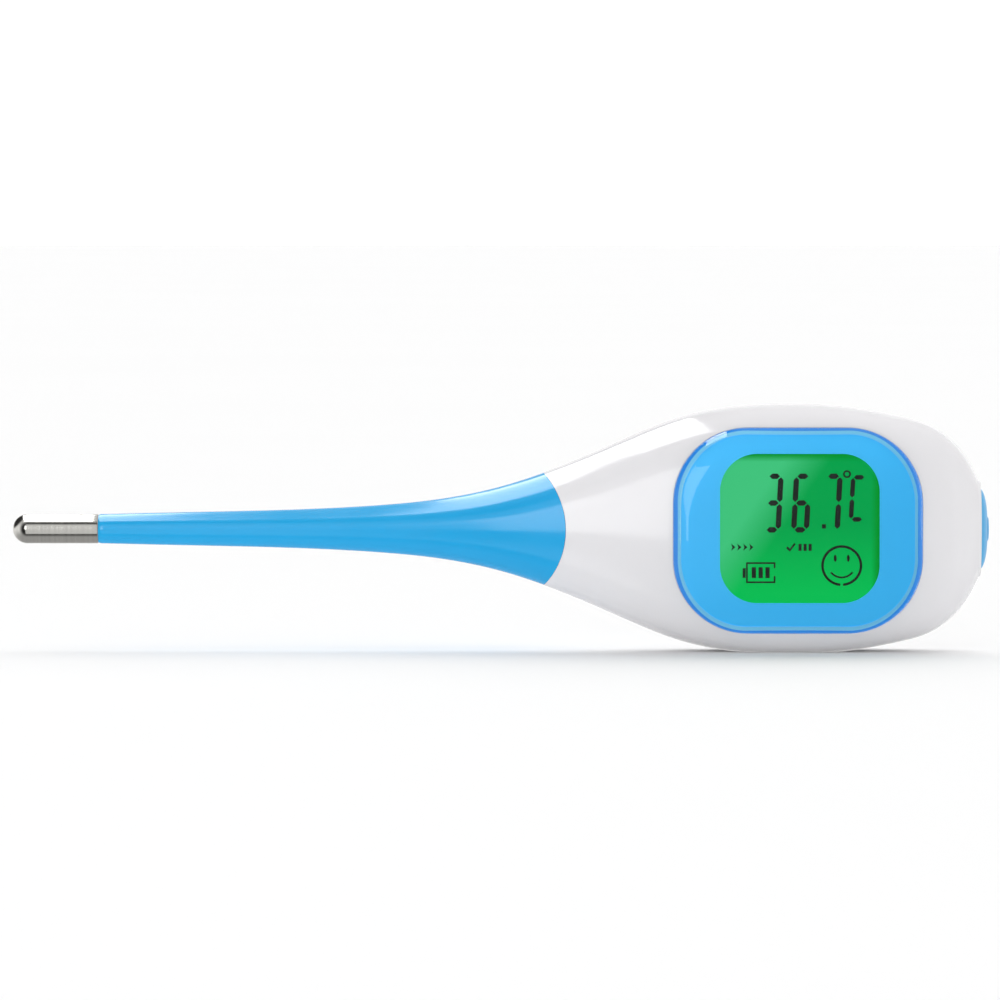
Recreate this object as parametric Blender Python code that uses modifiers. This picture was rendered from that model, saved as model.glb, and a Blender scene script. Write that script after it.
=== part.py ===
"""Digital thermometer with an oversized display, as separate pieces.

Metres, +Z up. It stands on the flat land of its lower long edge at z = 0, with the probe tip
at -X, the button at +X and the display facing -Y. The long axis runs along X at z = AXIS_Z.
"""

import math

import bmesh
import bpy
from mathutils import Matrix, Vector

MM = 0.001

# Driving dimensions
TIP_X = -70.0 * MM
CROWN_X = 70.0 * MM
AXIS_Z = 17.55 * MM
PARTING_GAP = 0.3 * MM
CLEARANCE = 0.1 * MM

CAP_RADIUS = 2.1 * MM
CAP_WALL = 0.25 * MM
CAP_END_X = -57.6 * MM
STEM_WALL = 1.8 * MM
STEM_BORE = 0.95 * MM
SPIGOT_RADIUS = 1.6 * MM
SPIGOT_LENGTH = 4.4 * MM
CORE_START_X, CORE_END_X, CORE_WALL = -9.0 * MM, 12.0 * MM, 1.0 * MM

# The joint between stem and body is a cylinder about a line along Y.
JOINT_RADIUS = 11.93 * MM
JOINT_X = -2.62 * MM
JOINT_GAP = 0.15 * MM

FRONT_WALL = 2.0 * MM
REAR_WALL = 2.4 * MM
END_WALL = 1.3 * MM
END_X = 68.8 * MM
BUTTON_TUNNEL = 1.5 * MM

# Stations along the length: x, half height, half thickness at the front and at the back, squareness
STATIONS = (
    (-57.6, 2.10, 2.10, 2.10, 2.0),
    (-46.0, 2.37, 2.36, 2.36, 2.0),
    (-29.0, 2.80, 2.75, 2.75, 2.0),
    (-17.3, 3.42, 3.20, 3.20, 2.0),
    (-8.7, 4.30, 3.80, 3.80, 2.05),
    (0.0, 6.08, 4.65, 4.65, 2.1),
    (8.5, 8.95, 5.80, 5.90, 2.3),
    (17.1, 12.60, 7.20, 7.40, 2.6),
    (25.7, 16.00, 8.50, 9.00, 2.9),
    (34.0, 17.60, 9.20, 9.90, 3.1),
    (42.0, 17.93, 9.40, 10.20, 3.2),
    (50.0, 17.45, 9.30, 10.10, 3.2),
    (57.3, 16.15, 8.90, 9.55, 3.1),
    (62.0, 14.60, 8.20, 8.60, 2.9),
    (65.9, 11.40, 6.90, 7.00, 2.6),
    (68.8, 6.35, 4.90, 4.90, 2.3),
)

# Display: the lens, its printed border and the LCD behind them
LENS_X, LENS_SIZE, LENS_CORNER = 42.4 * MM, (35.6 * MM, 29.4 * MM), 10.7 * MM
LENS_PROUD = 0.8 * MM
LENS_FLATTENING = 0.6
LENS_EDGE_DROP = 0.5 * MM
LEDGE_DEPTH = 1.2 * MM
VIEW_X, VIEW_Z = 42.64 * MM, 0.35 * MM
VIEW_SIZE, VIEW_CORNER = (22.75 * MM, 21.2 * MM), 5.35 * MM
LEDGE_SIZE, LEDGE_CORNER = (25.4 * MM, 23.8 * MM), 5.5 * MM
LCD_SIZE = (24.4 * MM, 22.8 * MM)
LCD_FRONT_Y = -5.6 * MM

# Circuit board
BOARD_FRONT_Y, BOARD_BACK_Y = -0.6 * MM, 0.4 * MM
BOARD_LEFT_X, BOARD_RIGHT_X = 12.5 * MM, 61.8 * MM

# Battery bay
CELL_X, CELL_RADIUS, CELL_THICKNESS = 45.2 * MM, 10.0 * MM, 3.2 * MM
CELL_Y = 4.2 * MM
BAY_RADIUS, BAY_WALL = 10.4 * MM, 1.4 * MM
BAY_FLOOR_Y = (2.6 * MM, 3.6 * MM)
COVER_X, COVER_SIZE, COVER_CORNER = 43.0 * MM, (33.0 * MM, 26.4 * MM), 9.0 * MM
COVER_THICKNESS = 1.2 * MM
COVER_POCKET = 1.85 * MM
SCREW_X = 29.9 * MM
SCREW_POST_RADIUS, SCREW_POST_END_Y = 3.2 * MM, 7.6 * MM
BAY_END_Y = 8.2 * MM
# Slots in the bay floor and wall for the contacts: low x, high x, half height, far y
CONTACT_SLOT = (41.4 * MM, 50.4 * MM, 2.7 * MM, 5.0 * MM)
CLIP_SLOT = (54.6 * MM, 56.3 * MM, 2.6 * MM, 7.0 * MM)

# Power button
BUTTON_HALF = (5.9 * MM, 4.3 * MM)
BUTTON_STEM_Y = -2.2 * MM

# How far cutters reach past the body, and the steps of its curved skin
REACH = 15 * MM
ROWS_ALONG = 20
POINTS_HALF = 14


# ---------------------------------------------------------------- shape of the body


def column(x, index):
    """One column of STATIONS at x, by a smooth cubic through the stations."""
    rows = STATIONS
    x_mm = min(max(x / MM, rows[0][0]), rows[-1][0])
    i = max(k for k in range(len(rows) - 1) if rows[k][0] <= x_mm or k == 0)

    def slope(k):
        low, high = max(k - 1, 0), min(k + 1, len(rows) - 1)
        return (rows[high][index] - rows[low][index]) / (rows[high][0] - rows[low][0])

    width = rows[i + 1][0] - rows[i][0]
    t = (x_mm - rows[i][0]) / width
    start, end = rows[i][index], rows[i + 1][index]
    return (
        (2 * t**3 - 3 * t**2 + 1) * start
        + (t**3 - 2 * t**2 + t) * width * slope(i)
        + (3 * t**2 - 2 * t**3) * end
        + (t**3 - t**2) * width * slope(i + 1)
    )


def half_height(x):
    return column(x, 1) * MM


def half_thickness(x, side):
    return column(x, 2 if side < 0 else 3) * MM


def squareness(x):
    return column(x, 4)


def slope_factor(size, x):
    """How much a wall grows when it is measured square to the axis, not square to the skin."""
    step = 0.3 * MM
    rise = (size(x + step) - size(x - step)) / (2 * step)
    return math.sqrt(1 + min(rise * rise, 4.0))


def skin_point(x, turn, side, inset=0.0):
    """A point of the body's skin, inset by a wall. turn runs from -90 degrees, the bottom, to 90."""
    high = half_height(x) - inset * slope_factor(half_height, x)
    thick = half_thickness(x, side) - inset * slope_factor(lambda v: half_thickness(v, side), x)
    power = 2 / squareness(x)
    sine, cosine = math.sin(turn), max(math.cos(turn), 0.0)
    z = AXIS_Z + math.copysign(high * abs(sine) ** power, sine)
    y = side * max(thick * cosine**power, PARTING_GAP / 2)
    return Vector((x, y, max(z, inset) if inset else z))


def skin_y(x, z, side, depth=0.0):
    """The skin's y over a place of the front or the back, sunk by depth."""
    ratio = min(abs(z - AXIS_Z) / half_height(x), 1.0)
    power = squareness(x)
    return side * (half_thickness(x, side) * (1 - ratio**power) ** (1 / power) - depth)


def joint_x(z):
    """The joint between stem and body, at a height."""
    return JOINT_X + math.sqrt(JOINT_RADIUS**2 - min(abs(z - AXIS_Z), 9.2 * MM) ** 2)


def joint_start(turn, side, inset, offset):
    """Where a line along the skin meets the joint."""
    x = 8.0 * MM
    for _ in range(12):
        x = joint_x(skin_point(x, turn, side, inset).z) + offset
    return x


# ---------------------------------------------------------------- making objects


def linked(obj, colour, roughness=0.4, metallic=0.0):
    """Puts an object in the part's collection, with its own material."""
    for collection in obj.users_collection:
        collection.objects.unlink(obj)
    parts.objects.link(obj)
    paint(obj, colour, roughness, metallic)
    return obj


def paint(obj, colour, roughness, metallic):
    material = bpy.data.materials.new(obj.name)
    material.use_nodes = True
    shader = material.node_tree.nodes["Principled BSDF"]
    shader.inputs["Base Color"].default_value = (*colour, 1.0)
    shader.inputs["Roughness"].default_value = roughness
    shader.inputs["Metallic"].default_value = metallic
    obj.data.materials.clear()
    obj.data.materials.append(material)


def object_from(name, bm):
    bmesh.ops.recalc_face_normals(bm, faces=bm.faces)
    mesh = bpy.data.meshes.new(name)
    bm.to_mesh(mesh)
    bm.free()
    mesh.shade_smooth()
    mesh.set_sharp_from_angle(angle=math.radians(35))
    return bpy.data.objects.new(name, mesh)


def loft(name, outer, inner, wrap=False):
    """A closed solid between two matching grids of points; wrap joins each row's ends."""
    bm = bmesh.new()
    grids = [[[bm.verts.new(p) for p in row] for row in grid] for grid in (outer, inner)]
    count = len(outer[0])
    steps = count if wrap else count - 1

    def strip(low, high):
        for j in range(steps):
            k = (j + 1) % count
            bm.faces.new((low[j], low[k], high[k], high[j]))

    for grid in grids:
        for low, high in zip(grid, grid[1:]):
            strip(low, high)
    strip(grids[0][0], grids[1][0])
    strip(grids[0][-1], grids[1][-1])
    if not wrap:
        for j in (0, -1):
            for i in range(len(outer) - 1):
                corners = (grids[0][i][j], grids[0][i + 1][j], grids[1][i + 1][j], grids[1][i][j])
                bm.faces.new(corners)
    bmesh.ops.remove_doubles(bm, verts=bm.verts, dist=1e-7)
    return object_from(name, bm)


def box(name, low, high):
    """A box between two corners."""
    centre = [(a + b) / 2 for a, b in zip(low, high)]
    size = [b - a for a, b in zip(low, high)]
    bm = bmesh.new()
    bmesh.ops.create_cube(bm, size=1.0, matrix=Matrix.Diagonal((*size, 1.0)))
    obj = object_from(name, bm)
    obj.location = centre
    return obj


def rod(name, start, end, radius, sides=32, end_radius=None):
    """A round rod or cone between two points."""
    start, end = Vector(start), Vector(end)
    bm = bmesh.new()
    bmesh.ops.create_cone(
        bm,
        cap_ends=True,
        segments=sides,
        radius1=radius,
        radius2=radius if end_radius is None else end_radius,
        depth=(end - start).length,
    )
    obj = object_from(name, bm)
    obj.location = (start + end) / 2
    obj.rotation_euler = (end - start).to_track_quat("Z", "Y").to_euler()
    return obj


def along_y(name, x, start, end, radius, sides):
    """A round rod along Y, at the height of the long axis."""
    return rod(name, (x, start, AXIS_Z), (x, end, AXIS_Z), radius, sides)


def turned(name, profile, location, axis, sides=32):
    """A profile of (radius, height) pairs, from top to bottom on its outer side, turned about an axis."""
    mesh = bpy.data.meshes.new(name)
    points = [(radius, 0.0, height) for radius, height in profile]
    mesh.from_pydata(points, [(i, i + 1) for i in range(len(points) - 1)], [])
    obj = bpy.data.objects.new(name, mesh)
    obj.location = location
    obj.rotation_euler = Vector(axis).to_track_quat("Z", "Y").to_euler()
    screw = obj.modifiers.new("turn", "SCREW")
    screw.axis = "Z"
    screw.steps = screw.render_steps = sides
    screw.use_merge_vertices = True
    screw.merge_threshold = 1e-7
    return obj


def rounded(size, corner, arc_points=7):
    """The outline of a rectangle with round corners, counter-clockwise about its centre."""
    outline = []
    for k, (sx, sz) in enumerate(((1, -1), (1, 1), (-1, 1), (-1, -1))):
        cx, cz = sx * (size[0] / 2 - corner), sz * (size[1] / 2 - corner)
        for j in range(arc_points):
            turn = math.radians(-90 + 90 * k + 90 * j / (arc_points - 1))
            outline.append((cx + corner * math.cos(turn), cz + corner * math.sin(turn)))
    return outline


def circle(radius, sides=40):
    turns = [2 * math.pi * k / sides for k in range(sides)]
    return [(radius * math.cos(t), radius * math.sin(t)) for t in turns]


def grown(outline, scale):
    return [(x * scale, z * scale) for x, z in outline]


def plate(name, outlines, y_from, y_to, x, z=0.0):
    """A flat plate square to Y: the first outline is its edge, the others are its holes."""
    curve = bpy.data.curves.new(name, "CURVE")
    curve.dimensions = "2D"
    curve.fill_mode = "BOTH"
    curve.extrude = (y_to - y_from) / 2
    for outline in outlines:
        spline = curve.splines.new("POLY")
        spline.points.add(len(outline) - 1)
        for point, (px, pz) in zip(spline.points, outline):
            point.co = (px, pz, 0.0, 1.0)
        spline.use_cyclic_u = True
    obj = bpy.data.objects.new(name, curve)
    obj.location = (x, (y_from + y_to) / 2, AXIS_Z + z)
    obj.rotation_euler = (math.pi / 2, 0, 0)
    return obj


def moved(outline, dx, dz=0.0):
    return [(x + dx, z + dz) for x, z in outline]


def ribbon(name, points, z_from, z_to, thickness):
    """A bent metal strip: a line of (x, y) points as wide as z_from to z_to."""
    mesh = bpy.data.meshes.new(name)
    verts = [(x, y, AXIS_Z + z) for z in (z_from, z_to) for x, y in points]
    count = len(points)
    faces = [(i, i + 1, count + i + 1, count + i) for i in range(count - 1)]
    mesh.from_pydata(verts, [], faces)
    obj = bpy.data.objects.new(name, mesh)
    solid = obj.modifiers.new("metal", "SOLIDIFY")
    solid.thickness = thickness
    solid.offset = 0
    return obj


def wire(name, points, radius):
    """A round wire through points, with flat ends."""
    curve = bpy.data.curves.new(name, "CURVE")
    curve.dimensions = "3D"
    curve.bevel_depth = radius
    curve.bevel_resolution = 1
    curve.use_fill_caps = True
    spline = curve.splines.new("POLY")
    spline.points.add(len(points) - 1)
    for point, place in zip(spline.points, points):
        point.co = (*place, 1.0)
    return bpy.data.objects.new(name, curve)


def as_mesh(obj):
    """The curve or modified object as a plain welded mesh, for a Boolean."""
    bpy.context.scene.collection.objects.link(obj)
    bpy.context.view_layer.update()
    graph = bpy.context.evaluated_depsgraph_get()
    mesh = bpy.data.meshes.new_from_object(obj.evaluated_get(graph))
    bm = bmesh.new()
    bm.from_mesh(mesh)
    bmesh.ops.remove_doubles(bm, verts=bm.verts, dist=1e-7)
    bmesh.ops.recalc_face_normals(bm, faces=bm.faces)
    bm.to_mesh(mesh)
    bm.free()
    copy = bpy.data.objects.new(obj.name, mesh)
    copy.matrix_world = obj.matrix_world.copy()
    name = obj.name
    bpy.data.objects.remove(obj)
    copy.name = name
    return copy


def combine(obj, operation, tool):
    """A Boolean with a helper object, which isn't a piece of the thermometer."""
    if tool.type == "CURVE":
        tool = as_mesh(tool)
    cutters.objects.link(tool)
    tool.hide_render = True
    tool.display_type = "WIRE"
    boolean = obj.modifiers.new(tool.name, "BOOLEAN")
    boolean.operation = operation
    boolean.object = tool


def cut(obj, tool):
    combine(obj, "DIFFERENCE", tool)


def join(obj, tool):
    combine(obj, "UNION", tool)


def skin_plate(name, outline, x, z, top, bottom, rings=(0.0, 0.25, 0.5, 0.7, 0.85, 1.0)):
    """A plate that follows the skin; top and bottom give y at a place, rings go out from its middle."""
    grids = []
    for surface in (top, bottom):
        grid = []
        for ring in rings:
            places = [(x + px, AXIS_Z + z + pz) for px, pz in grown(outline, ring)]
            grid.append([(px, surface(px, pz), pz) for px, pz in places])
        grids.append(grid)
    return loft(name, grids[0], grids[1], wrap=True)


def skin_ring(name, outline, hole, x, z, top, bottom):
    """A ring that follows the skin, between two outlines of equal count."""
    grids = []
    for surface in (top, bottom):
        grid = []
        for part in (0.0, 0.5, 1.0):
            row = []
            for (ox, oz), (hx, hz) in zip(outline, hole):
                px, pz = x + ox + (hx - ox) * part, AXIS_Z + z + oz + (hz - oz) * part
                row.append((px, surface(px, pz), pz))
            grid.append(row)
        grids.append(grid)
    return loft(name, grids[0], grids[1], wrap=True)


def sunk(side, depth):
    return lambda x, z: skin_y(x, z, side, depth)


def beyond(side):
    """A plane clear of the body, where a cutter can end."""
    return lambda x, z: side * REACH


# ---------------------------------------------------------------- white shells


def wall_at(x, wall):
    """The wall thins towards the button."""
    blend = min(max((x - 58 * MM) / (5 * MM), 0.0), 1.0)
    return wall + (END_WALL - wall) * blend


def half_shell(name, side, wall):
    """One half of the white body: skin, wall, and the tunnel that the button travels in."""
    turns = [math.radians(-90 + 180 * j / POINTS_HALF) for j in range(POINTS_HALF + 1)]
    outer, inner = [], []
    for i in range(ROWS_ALONG + 1):
        share = math.sin(math.pi / 2 * i / ROWS_ALONG) ** 0.85
        row_out, row_in = [], []
        for turn in turns:
            start = joint_start(turn, side, 0.0, JOINT_GAP)
            x = start + (END_X - start) * share
            row_out.append(skin_point(x, turn, side))
            inner_end = END_X - BUTTON_TUNNEL
            start = joint_start(turn, side, wall, JOINT_GAP)
            x = start + (inner_end - start) * share
            row_in.append(skin_point(x, turn, side, wall_at(x, wall)))
        outer.append(row_out)
        inner.append(row_in)
    tunnel = [BUTTON_HALF[0] + 1.5 * CLEARANCE, BUTTON_HALF[1] + 1.5 * CLEARANCE]
    inner[-1] = [oval_point(END_X - BUTTON_TUNNEL, turn, side, tunnel) for turn in turns]
    inner.append([oval_point(END_X, turn, side, tunnel) for turn in turns])
    outer.append([point.copy() for point in outer[-1]])
    for point, turn in zip(outer[-2], turns):
        point.x -= 0.25 * MM
        near = skin_point(point.x, turn, side)
        point.y, point.z = near.y, near.z
    shell = linked(loft(name, outer, inner), (0.80, 0.79, 0.80), 0.25)
    cut(shell, box("cut_rest_land", (0, -REACH, -REACH), (END_X, REACH, 0)))
    return shell


def oval_point(x, turn, side, halves):
    power = 2 / squareness(END_X)
    sine, cosine = math.sin(turn), max(math.cos(turn), 0.0)
    z = AXIS_Z + math.copysign(halves[0] * abs(sine) ** power, sine)
    return Vector((x, side * max(halves[1] * cosine**power, PARTING_GAP / 2), z))


def front_shell():
    shell = half_shell("front_shell", -1, FRONT_WALL)
    pocket = rounded([s + 4 * CLEARANCE for s in LENS_SIZE], LENS_CORNER + 2 * CLEARANCE)
    cut(shell, skin_plate("cut_lens_pocket", pocket, LENS_X, 0.0, beyond(-1), sunk(-1, LEDGE_DEPTH)))
    window = rounded(LEDGE_SIZE, LEDGE_CORNER)
    cut(shell, plate("cut_window", [window], -14 * MM, -3 * MM, VIEW_X, VIEW_Z))
    for x, z in BOARD_SCREWS:
        place = Vector((x, 0, AXIS_Z + z))
        front = Vector((0, skin_y(x, AXIS_Z + z, -1, 1.0 * MM), 0))
        back = Vector((0, BOARD_FRONT_Y - CLEARANCE, 0))
        join(shell, rod("add_post", place + front, place + back, 1.9 * MM, 20))
        deep = Vector((0, BOARD_FRONT_Y - 3.4 * MM, 0))
        cut(shell, rod("cut_post_hole", place + deep, place + Vector((0, 1 * MM, 0)), 0.8 * MM, 16))
    return shell


def rear_shell():
    shell = half_shell("rear_shell", 1, REAR_WALL)
    y0, y1 = BAY_FLOOR_Y
    join(shell, along_y("add_bay", CELL_X, y0, BAY_END_Y, BAY_RADIUS + BAY_WALL, 40))
    join(shell, along_y("add_screw_post", SCREW_X, y0, SCREW_POST_END_Y, SCREW_POST_RADIUS, 24))
    join(shell, as_mesh(plate("add_buzzer_seat", [circle(6.4 * MM, 28), circle(4.9 * MM, 28)],
                              3.5 * MM, 6.0 * MM, BUZZER_X)))
    pocket = rounded([s + 4 * CLEARANCE for s in COVER_SIZE], COVER_CORNER + 2 * CLEARANCE)
    cut(shell, skin_plate("cut_cover_pocket", pocket, COVER_X, 0.0, beyond(1), sunk(1, COVER_POCKET)))
    cut(shell, along_y("cut_cell", CELL_X, y1, REACH, BAY_RADIUS, 40))
    for name, slot in (("cut_contact_slot", CONTACT_SLOT), ("cut_clip_slot", CLIP_SLOT)):
        left, right, half, end = slot
        cut(shell, box(name, (left, 1 * MM, AXIS_Z - half), (right, end, AXIS_Z + half)))
    cut(shell, along_y("cut_screw_seat", SCREW_X, 6.7 * MM, REACH, 2.5 * MM, 24))
    cut(shell, along_y("cut_screw_hole", SCREW_X, 3.6 * MM, REACH, 0.85 * MM, 20))
    return shell


# ---------------------------------------------------------------- probe


def stem_inset(x):
    """The stem's wall: thick at the funnel, and what the bore leaves where it is thin."""
    return min(STEM_WALL, half_height(x) - STEM_BORE)


def ring_turns(count):
    return [2 * math.pi * j / count for j in range(count)]


def around(x, turn, inset):
    """A point of the skin all the way round: turn 0 at the back, 90 degrees at the top."""
    side = 1 if math.cos(turn) >= 0 else -1
    high = half_height(x) - inset
    thick = half_thickness(x, side) - inset
    power = 2 / squareness(x)
    sine, cosine = math.sin(turn), math.cos(turn)
    z = AXIS_Z + math.copysign(high * abs(sine) ** power, sine)
    y = math.copysign(thick * abs(cosine) ** power, cosine)
    return Vector((x, y, z))


def probe_stem():
    turns = ring_turns(20)
    rows = 16
    outer, inner = [], []
    for i in range(rows + 1):
        share = i / rows
        row_out, row_in = [], []
        for turn in turns:
            for row, hollow in ((row_out, False), (row_in, True)):
                end = 7.0 * MM
                for _ in range(12):
                    inset = stem_inset(end) if hollow else 0.0
                    end = joint_x(around(end, turn, inset).z) - JOINT_GAP
                x = CAP_END_X + (end - CAP_END_X) * share
                row.append(around(x, turn, stem_inset(x) if hollow else 0.0))
        outer.append(row_out)
        inner.append(row_in)
    spigot_x = CAP_END_X - SPIGOT_LENGTH

    def collar(x, radius):
        return [Vector((x, radius * math.cos(t), AXIS_Z + radius * math.sin(t))) for t in turns]

    outer[:0] = [collar(spigot_x, SPIGOT_RADIUS), collar(CAP_END_X, SPIGOT_RADIUS)]
    inner[:0] = [collar(spigot_x, STEM_BORE), collar(CAP_END_X - 0.2 * MM, STEM_BORE)]
    return linked(loft("probe_stem", outer, inner, wrap=True), (0.05, 0.41, 0.78), 0.25)


def neck_core():
    """The rigid insert that carries the soft stem on the body."""
    turns = ring_turns(20)
    outer, inner = [], []
    rows = 8
    for i in range(rows + 1):
        x = CORE_START_X + (CORE_END_X - CORE_START_X) * i / rows
        inset = STEM_WALL + 0.3 * MM + 1.5 * MM * min(max((x - 2 * MM) / (6 * MM), 0.0), 1.0)
        outer.append([around(x, turn, inset) for turn in turns])
        inner.append([around(x, turn, inset + CORE_WALL) for turn in turns])
    return linked(loft("neck_core", outer, inner, wrap=True), (0.75, 0.75, 0.72), 0.5)


def dome(radius, centre_x, count):
    """Profile points of a round nose, from the axis to its equator; heights point to the tip."""
    turns = [math.pi / 2 * j / count for j in range(count + 1)]
    return [(radius * math.sin(t), radius * math.cos(t) - centre_x) for t in turns]


def probe_tip():
    origin = (0, 0, AXIS_Z)
    nose = TIP_X + CAP_RADIUS
    inner_radius = CAP_RADIUS - CAP_WALL
    rim = -(CAP_END_X - CLEARANCE)
    outer = dome(CAP_RADIUS, nose, 8)
    inner = dome(inner_radius, nose, 6)
    profile = outer + [(CAP_RADIUS, rim), (inner_radius, rim)] + inner[::-1]
    linked(turned("probe_cap", profile, origin, (-1, 0, 0), 24), (0.62, 0.61, 0.56), 0.15, 1.0)

    potting = dome(inner_radius - CLEARANCE, nose, 5)
    back = -(TIP_X + 6.6 * MM)
    bore, bottom = 1.15 * MM, -(TIP_X + 0.9 * MM)
    profile = potting + [(inner_radius - CLEARANCE, back), (bore, back), (bore, bottom), (0, bottom)]
    linked(turned("tip_potting", profile, origin, (-1, 0, 0), 24), (0.05, 0.05, 0.05), 0.5)

    bead = bmesh.new()
    bmesh.ops.create_uvsphere(bead, u_segments=16, v_segments=8, radius=0.8 * MM)
    bead = object_from("thermistor", bead)
    bead.location = (TIP_X + 2.1 * MM, 0, AXIS_Z)
    bead.scale = (1.3, 1.0, 1.0)
    linked(bead, (0.1, 0.25, 0.12), 0.2)


def sensor_leads():
    for name, side in (("sensor_lead_a", 1), ("sensor_lead_b", -1)):
        points = [
            (TIP_X + 3.4 * MM, 0, AXIS_Z + side * 0.42 * MM),
            (-34 * MM, 0, AXIS_Z + side * 0.42 * MM),
            (0.0, 0, AXIS_Z + side * 0.42 * MM),
            (6 * MM, -0.5 * MM, AXIS_Z + side * 0.7 * MM),
            (10 * MM, -1.1 * MM, AXIS_Z + side * 1.4 * MM),
            (16 * MM, BOARD_FRONT_Y - 0.5 * MM, AXIS_Z + side * 2.0 * MM),
        ]
        linked(wire(name, points, 0.22 * MM), (0.6, 0.05, 0.04) if side > 0 else (0.7, 0.7, 0.7), 0.4)


# ---------------------------------------------------------------- display


def lens_front(x, z):
    """The lens stands proud of the skin and is flatter than it."""
    crown = half_thickness(LENS_X, -1) + LENS_PROUD
    fall = half_thickness(LENS_X, -1) + skin_y(x, z, -1)
    return -(crown - LENS_FLATTENING * fall)


def display():
    outline = rounded(LENS_SIZE, LENS_CORNER)
    rings = (0.0, 0.4, 0.75, 0.93, 0.999, 1.0)
    edge = max(abs(z) for _, z in outline)

    def top(x, z):
        near_edge = [abs(v) for v in (x - LENS_X, z - AXIS_Z)]
        reach = outline_share(near_edge, LENS_SIZE, LENS_CORNER)
        return lens_front(x, z) + LENS_EDGE_DROP * max(0.0, (reach - 0.93) / 0.07) ** 2

    lens = skin_plate("display_lens", outline, LENS_X, 0.0, top, sunk(-1, 0.35 * MM), rings)
    linked(lens, (0.85, 0.93, 0.95), 0.05)

    border = rounded([s - 4 * CLEARANCE for s in LENS_SIZE], LENS_CORNER - 2 * CLEARANCE)
    view = moved(rounded(VIEW_SIZE, VIEW_CORNER), VIEW_X - LENS_X, VIEW_Z)
    film = skin_ring("lens_border_film", border, view, LENS_X, 0.0, sunk(-1, 0.45 * MM), sunk(-1, 0.6 * MM))
    linked(film, (0.05, 0.40, 0.85), 0.4)
    ledge = moved(rounded([s + 2 * CLEARANCE for s in LEDGE_SIZE], LEDGE_CORNER), VIEW_X - LENS_X, VIEW_Z)
    gasket = skin_ring("lens_gasket", border, ledge, LENS_X, 0.0, sunk(-1, 0.7 * MM), sunk(-1, 0.95 * MM))
    linked(gasket, (0.03, 0.03, 0.03), 0.8)

    x0, z0 = VIEW_X, AXIS_Z + VIEW_Z
    half_w, half_h = LCD_SIZE[0] / 2, LCD_SIZE[1] / 2
    back = LCD_FRONT_Y + 1.8 * MM
    linked(box("lcd_panel", (x0 - half_w, LCD_FRONT_Y, z0 - half_h), (x0 + half_w, back, z0 + half_h)),
           (0.02, 0.45, 0.12), 0.2)
    guide_front, guide_back = back + 0.3 * MM, back + 2.0 * MM
    linked(box("light_guide", (x0 - half_w, guide_front, z0 - half_h + 2.2 * MM),
               (x0 + half_w - 2.0 * MM, guide_back, z0 + half_h)), (0.8, 0.9, 0.8), 0.15)
    for name, dz in (("backlight_led_upper", 5 * MM), ("backlight_led_lower", -5 * MM)):
        low = (x0 + half_w - 1.6 * MM, guide_front, z0 + dz - 1.4 * MM)
        high = (x0 + half_w - 0.3 * MM, BOARD_FRONT_Y - CLEARANCE, z0 + dz + 1.4 * MM)
        linked(box(name, low, high), (0.9, 0.85, 0.4), 0.3)
    linked(box("zebra_connector", (x0 - 9.5 * MM, back + CLEARANCE, z0 - half_h + 0.2 * MM),
               (x0 + 9.5 * MM, BOARD_FRONT_Y - CLEARANCE, z0 - half_h + 1.6 * MM)), (0.3, 0.3, 0.35), 0.7)
    hole = rounded([s + 6 * CLEARANCE for s in LCD_SIZE], 0.4 * MM, 3)
    outside = rounded([s + 3.0 * MM for s in LCD_SIZE], 2.0 * MM, 5)
    frame = plate("lcd_frame", [outside, hole], -4.6 * MM, BOARD_FRONT_Y - CLEARANCE, VIEW_X, VIEW_Z)
    linked(frame, (0.85, 0.85, 0.85), 0.5)


def outline_share(offset, size, corner):
    """How far out a place lies in a rounded rectangle: 0 at its middle, 1 on its edge."""
    half = (size[0] / 2, size[1] / 2)
    core = (half[0] - corner, half[1] - corner)
    low, high = 0.0, 2.0
    for _ in range(24):
        share = (low + high) / 2
        dx = max(offset[0] - core[0] * share, 0.0)
        dz = max(offset[1] - core[1] * share, 0.0)
        if math.hypot(dx, dz) > corner * share:
            low = share
        else:
            high = share
    return high


# ---------------------------------------------------------------- circuit board

BOARD_SCREWS = ((23.0 * MM, 9.0 * MM), (23.0 * MM, -9.0 * MM))
BUZZER_X = 19.4 * MM


def board_outline():
    """The board follows the inside of the shells at a distance."""
    steps = 12
    span = BOARD_RIGHT_X - BOARD_LEFT_X
    places = [BOARD_LEFT_X + span * i / steps for i in range(steps + 1)]
    edge = [(x, min(half_height(x) - 3.6 * MM, 13.7 * MM)) for x in places]
    return [(x, -z) for x, z in edge] + [(x, z) for x, z in reversed(edge)]


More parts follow.
